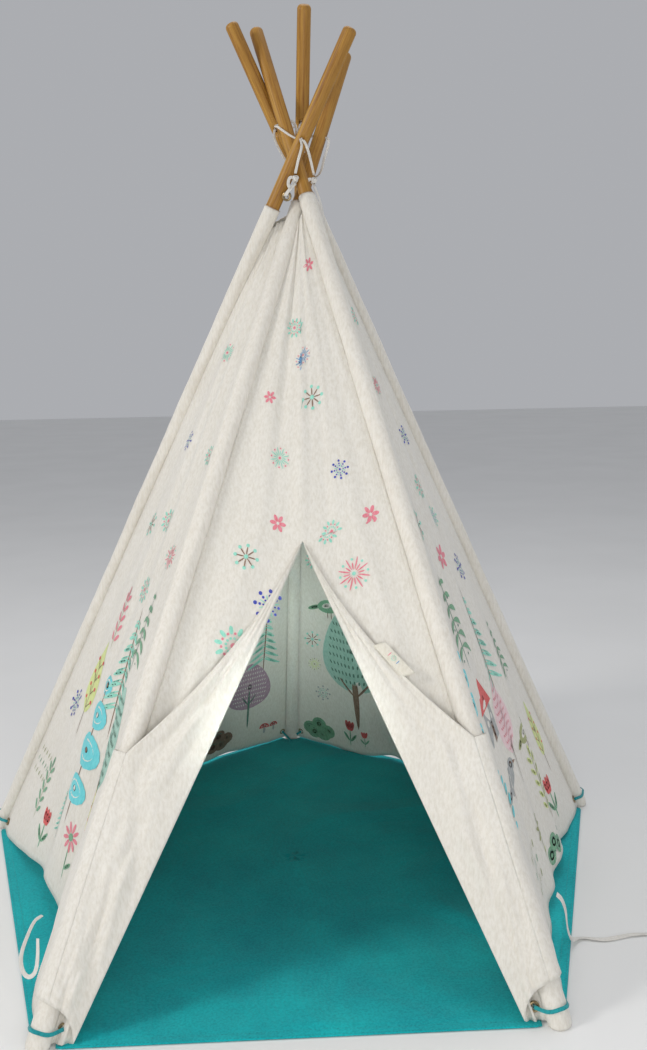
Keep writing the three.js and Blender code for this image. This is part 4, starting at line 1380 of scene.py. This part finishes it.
# ---- eyelets ----
def lie_of(node):
    """A flat round CAD piece's middle, and the way its axis points."""
    places = np.array([v.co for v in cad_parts[node].data.vertices], float)
    middle = places.mean(0)
    _, _, rows = np.linalg.svd(places - middle)
    return Vector(middle), Vector(rows[2]).normalized()


# The eyelet's section: (radius, height) in millimetres, from the bore over the top to the middle of its edge.
EYELET_PROFILE = [
    (4.3, 1.0), (4.6, 1.9), (5.6, 2.45), (6.9, 2.5), (8.0, 2.1), (8.6, 1.2), (8.4, 0.75), (5.5, 0.7),
]
EYELET_SIDES = 40


def make_eyelet(node, body):
    middle, axis = lie_of(node)
    profile = EYELET_PROFILE + [(r, -z) for r, z in reversed(EYELET_PROFILE)]
    turn = UP.rotation_difference(axis).to_matrix()
    vertices = []
    for r, z in profile + profile[:1]:
        vertices += [middle + turn @ Vector((*polar(r, a), z)) / 1000 for a in around(EYELET_SIDES)]
    faces = grid_faces(len(profile) + 1, EYELET_SIDES, wrap=True)
    obj = from_data(node.replace("eyelet", "ring"), vertices, faces, [antique_brass])
    dress(settle(obj, merge=0.00001), body, node)


# ---- teal ties at the corners ----
EYELET_UP = 0.034
CORNER_TIE_WIDTH = 0.0062
CORNER_PANELS = {
    "back": ("back_left", "back_right"), "left": ("back_left", "side_left"),
    "front_left": ("side_left", "front"), "front_right": ("side_right", "front"),
    "right": ("back_right", "side_right"),
}


def make_corner_tie(name):
    pole = poles[name]
    outward = pole.foot.normalized()
    middle = pole.at(EYELET_UP - 0.006)
    square = (outward - pole.axis * outward.dot(pole.axis)).normalized()
    inside = Vector((pole.foot.x, pole.foot.y, 0.0055)) - outward * 0.052
    eyes = []
    for panel in CORNER_PANELS[name]:
        place, axis = lie_of(f"eyelet_{name}_on_{panel}")
        eyes.append((place, axis if axis.dot(Vector((place.x, place.y, 0))) > 0 else -axis))
    reach = SLEEVE_R_FOOT + 0.0042

    def beside(eye, share):
        away = eye[0] - middle
        away = (away - pole.axis * away.dot(pole.axis)).normalized()
        return middle + away.lerp(square, share).normalized() * reach

    first, second = eyes
    route = [inside, (first[0] - first[1] * 0.010).lerp(inside, 0.35), first[0] - first[1] * 0.005, first[0],
             first[0] + first[1] * 0.006, beside(first, 0.45), beside(first, 0.8), middle + square * reach,
             beside(second, 0.8), beside(second, 0.45), second[0] + second[1] * 0.006, second[0],
             second[0] - second[1] * 0.005, (second[0] - second[1] * 0.013).lerp(inside + UP * 0.016, 0.3)]

    def facing(share, place):
        return (place - pole.at(0.02)).normalized()

    obj, _ = ribbon(f"{name}_corner_tie", route, facing, CORNER_TIE_WIDTH, THIN_TAPE, teal_tape)
    dress(obj, f"pole_{name}", f"corner_tie_{name}")


# ---- the cotton tape at the crossing ----
def hole_place(name, distance, beside=0.0):
    pole = poles[name]
    return pole.at(pole.hole_at) + pole.hole_axis() * distance + Vector((beside, 0, 0))


def through(name):
    return [hole_place(name, d) for d in (0.016, 0, -0.016)]


BESIDE = 0.0021
CROSSING_WIDTH = 0.0048
KNOT_WIDTH = 0.0052
END_WIDTH = 0.0058
TAIL_WIDTH = 0.0056
CROSSING_ROUTE = [
    (0.031, -0.082, 1.352), (0.036, -0.086, 1.372), (0.043, -0.092, 1.396),
    hole_place("left", 0.017, -BESIDE), hole_place("left", 0, -BESIDE), hole_place("left", -0.016, -BESIDE),
    (0.043, -0.036, 1.424), (0.042, 0.002, 1.448), *through("back"), (0.043, 0.073, 1.466),
    (0.025, 0.073, 1.458),
    *through("right"), (-0.004, 0.031, 1.432), (0.006, 0.032, 1.410), (0.017, 0.031, 1.391),
    (0.031, 0.026, 1.374), (0.049, 0.019, 1.362), (0.068, 0.010, 1.359), (0.079, -0.004, 1.366),
    (0.086, -0.004, 1.388), (0.094, 0.002, 1.412), *through("front_left"), (0.055, 0.0, 1.418),
    (0.049, -0.021, 1.402), (0.047, -0.033, 1.398), (0.044, -0.028, 1.408), (0.039, -0.017, 1.428),
    *through("front_right"), (0.003, -0.028, 1.441), (0.024, -0.042, 1.424), (0.041, -0.047, 1.415),
    hole_place("left", -0.014, BESIDE), hole_place("left", 0, BESIDE), hole_place("left", 0.017, BESIDE),
    (0.051, -0.093, 1.398), (0.058, -0.078, 1.378), (0.065, -0.054, 1.353),
]


def make_crossing_tape():
    def facing(share, place):
        return Vector((0.5 * math.sin(23 * share), -1.0, 0.35 + 0.4 * math.sin(31 * share))).normalized()

    obj, _ = ribbon("crossing_tape_band", CROSSING_ROUTE, facing, CROSSING_WIDTH, THIN_TAPE, cotton_tape,
                    steps=6)
    dress(obj, "crossing", "crossing_tape")
    for side, knot, panel in (("left", (0.031, -0.081, 1.343), "side_left"),
                              ("right", (0.065, -0.050, 1.344), "side_right")):
        make_knot(side, Vector(knot), panel)


TAIL_STEPS = ((0, 0, 0), (-0.009, -0.004, 0.002), (-0.013, -0.005, -0.008), (-0.011, -0.004, -0.016))


def facing_always(direction):
    return lambda share, place: Vector(direction).normalized()


def make_knot(side, centre, panel):
    """A knot with one loose tail, and the tape's end that goes down through the eyelet."""
    turns = []
    for k in range(26):
        a = 2 * math.pi * k / 13
        wave = 0.0042 + 0.0012 * math.cos(1.5 * a)
        turns.append(centre + Vector((wave * math.cos(a), 0.0036 * math.sin(a),
                                      0.0050 * math.sin(a * 0.5 + 0.6))))

    def outward(share, place):
        return (place - centre).normalized()

    knot, _ = ribbon(f"tape_knot_{side}_band", turns, outward, KNOT_WIDTH, 0.0013, cotton_tape, steps=3)
    eye, axis = lie_of(f"eyelet_top_{panel}")
    if axis.dot(centre - eye) < 0:
        axis = -axis
    out = eye + axis * 0.009
    start = centre - UP * 0.007
    route = [start, start.lerp(out, 0.5) + axis * 0.004, out, eye, eye - axis * 0.008]
    end, _ = ribbon(f"tape_end_{side}_band", route, facing_always((0.3, -1, 0.5)), END_WIDTH, TAPE,
                    cotton_tape)
    tail_route = [centre + Vector(step) for step in TAIL_STEPS]
    tail, _ = ribbon(f"tape_tail_{side}", tail_route, facing_always((0.1, -1, 0.2)), TAIL_WIDTH, THIN_TAPE,
                     cotton_tape)
    dress(knot, "pole_left", f"tape_knot_{side}")
    dress(end, "pole_left", f"tape_end_{side}")
    dress(tail, "pole_left")


# ---- the floor mat ----
def mat_reach(angle):
    """The mat's edge from its middle: a pentagon, notched round each foot."""
    fifth = 2 * math.pi / 5
    near = (angle - math.pi / 2 + fifth / 2) % fifth - fifth / 2
    apothem = MAT_RADIUS * math.cos(fifth / 2)
    reach = apothem / math.cos(fifth / 2 - abs(near))
    across = FOOT_RADIUS * math.sin(abs(near))
    if across < NOTCH_R:
        inner = FOOT_RADIUS * math.cos(near) - math.sqrt(NOTCH_R ** 2 - across ** 2)
        reach = min(reach, inner)
    return reach


MAT_LIFT = 0.0018
MAT_HEM = 0.0007


def mat_height(x, y, share):
    crease = 1 - abs(ripple(x * 2.3 + 4, y * 2.3, 61.0))
    soft = ripple(x * 5, y * 5, 67.0)
    fine = ripple(x * 16, y * 16, 71.0)
    sharp = max(0, crease - 0.86) / 0.14
    edge = 1 - smoothstep(0.94, 1.0, share)
    creases = 0.0042 * sharp + 0.0022 * (soft + 0.6) + 0.0005 * fine
    return MAT_LIFT + edge * creases + MAT_HEM * (share > 0.975)


MAT_TURNS, MAT_RINGS = 480, 110
MAT_CLOTH = 0.0014
MAT_FLOOR_GAP = 0.0002
MAT_SEAM_ROWS = (0.004, 0.016)


def mat_place(angle, share):
    x, y = polar(mat_reach(angle) * share, angle)
    return Vector((x, y, mat_height(x, y, share)))


def make_mat():
    vertices = [Vector((0, 0, mat_height(0, 0, 0)))]
    for r in range(1, MAT_RINGS + 1):
        vertices += [mat_place(a, (r / MAT_RINGS) ** 0.8) for a in around(MAT_TURNS)]
    faces = grid_faces(MAT_RINGS, MAT_TURNS, wrap=True, start=1)
    faces += [(0, 1 + k, 1 + (k + 1) % MAT_TURNS) for k in range(MAT_TURNS)]
    obj = thicken(from_data("mat", vertices, faces, [teal_cloth]), MAT_CLOTH)
    for vertex in obj.data.vertices:
        vertex.co.z = max(vertex.co.z, MAT_FLOOR_GAP)
    marks = Marks()
    for inset in MAT_SEAM_ROWS:
        line = []
        for a in [*around(MAT_TURNS), 2 * math.pi]:
            reach = mat_reach(a)
            line.append(mat_place(a, (reach - inset) / reach) + UP * 0.0009)
        marks.seam(line, [UP] * len(line), pitch=0.006)
    seams = marks.make("mat_stitches", [teal_tape])
    dress(obj, "mat", "floor_mat")
    dress(seams, "mat")


# ---- assembly ----
# Each panel's flat width and length in metres, and its area in square metres.
FLAT_SIZES = {
    "back_left": (0.77, 1.44, 0.62), "back_right": (0.77, 1.43, 0.62), "side_left": (0.77, 1.44, 0.60),
    "side_right": (0.77, 1.44, 0.60), "front": (0.77, 1.42, 0.33),
}


def make_cover():
    for name, (width, length, area) in FLAT_SIZES.items():
        obj, seams, prints = make_panel(name), make_panel_seams(name), make_prints(name)
        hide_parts(f"panel_{name}")
        for piece in (obj, seams, prints):
            gather(piece, f"panel_{name}")


FLOOR_REACH = 14
SKY_COLOUR = (0.93, 0.95, 1.0, 1)
SKY_STRENGTH = 0.44


# Each lamp: place, the point it looks at, size, power, spread in degrees and colour.
LAMPS = {
    "key": ((-3.4, -1.7, 2.6), (0, 0, 0.7), 1.0, 62, 180, (1.0, 0.975, 0.94)),
    "fill": ((3.2, -2.2, 1.9), (0, 0, 0.7), 2.4, 17, 180, (0.93, 0.96, 1.0)),
    "top": ((0.3, 0.6, 3.9), (0, 0, 0.7), 2.2, 30, 180, (1.0, 1.0, 1.0)),
    "door": ((0.0, -1.7, 0.8), (0, 0, 0.7), 0.9, 7, 180, (1.0, 0.98, 0.95)),
    "glow": ((0.0, -1.05, 0.42), (0, 0.3, 0.4), 0.12, 0.26, 28, (0.88, 1.0, 0.97)),
}


def make_lamp(name, place, aim, size, power, spread, colour):
    light = bpy.data.lights.new(name, "AREA")
    light.shape = "DISK"
    light.size = size
    light.energy = power
    light.color = colour
    light.spread = math.radians(spread)
    lamp = bpy.data.objects.new(name, light)
    bpy.context.scene.collection.objects.link(lamp)
    lamp.location = place
    lamp.visible_camera = False
    lamp.rotation_euler = (Vector(aim) - lamp.location).to_track_quat("-Z", "Y").to_euler()


def make_stage():
    floor = Nodes("studio_floor")
    floor.set(Roughness=0.85, Specular_IOR_Level=0.2)
    tone = floor.noise(2.0, 2.0)
    floor.colour(floor.ramp(tone, [(0.3, (0.80, 0.80, 0.79)), (0.7, (0.83, 0.83, 0.82))]))
    ends = (-FLOOR_REACH, FLOOR_REACH)
    vertices = [Vector((x, y, 0)) for y in ends for x in ends]
    from_data("studio_floor", vertices, grid_faces(2, 2), [floor.material])
    for name, settings in LAMPS.items():
        make_lamp(name, *settings)
    world = bpy.data.worlds.new("studio")
    world.use_nodes = True
    sky = world.node_tree.nodes["Background"]
    sky.inputs["Color"].default_value = SKY_COLOUR
    sky.inputs["Strength"].default_value = SKY_STRENGTH
    bpy.context.scene.world = world
    bpy.context.scene.view_settings.view_transform = "Standard"


for pole_name in POLES:
    make_pole(pole_name)
    make_sleeve(pole_name)
    make_corner_tie(pole_name)
    for panel_name in CORNER_PANELS[pole_name]:
        make_eyelet(f"eyelet_{pole_name}_on_{panel_name}", f"pole_{pole_name}")
for panel_name in ("side_left", "side_right"):
    make_eyelet(f"eyelet_top_{panel_name}", "pole_left")
make_cover()
for flap_side in doors:
    make_flap(flap_side)
make_label()
make_crossing_tape()
make_mat()
make_stage()
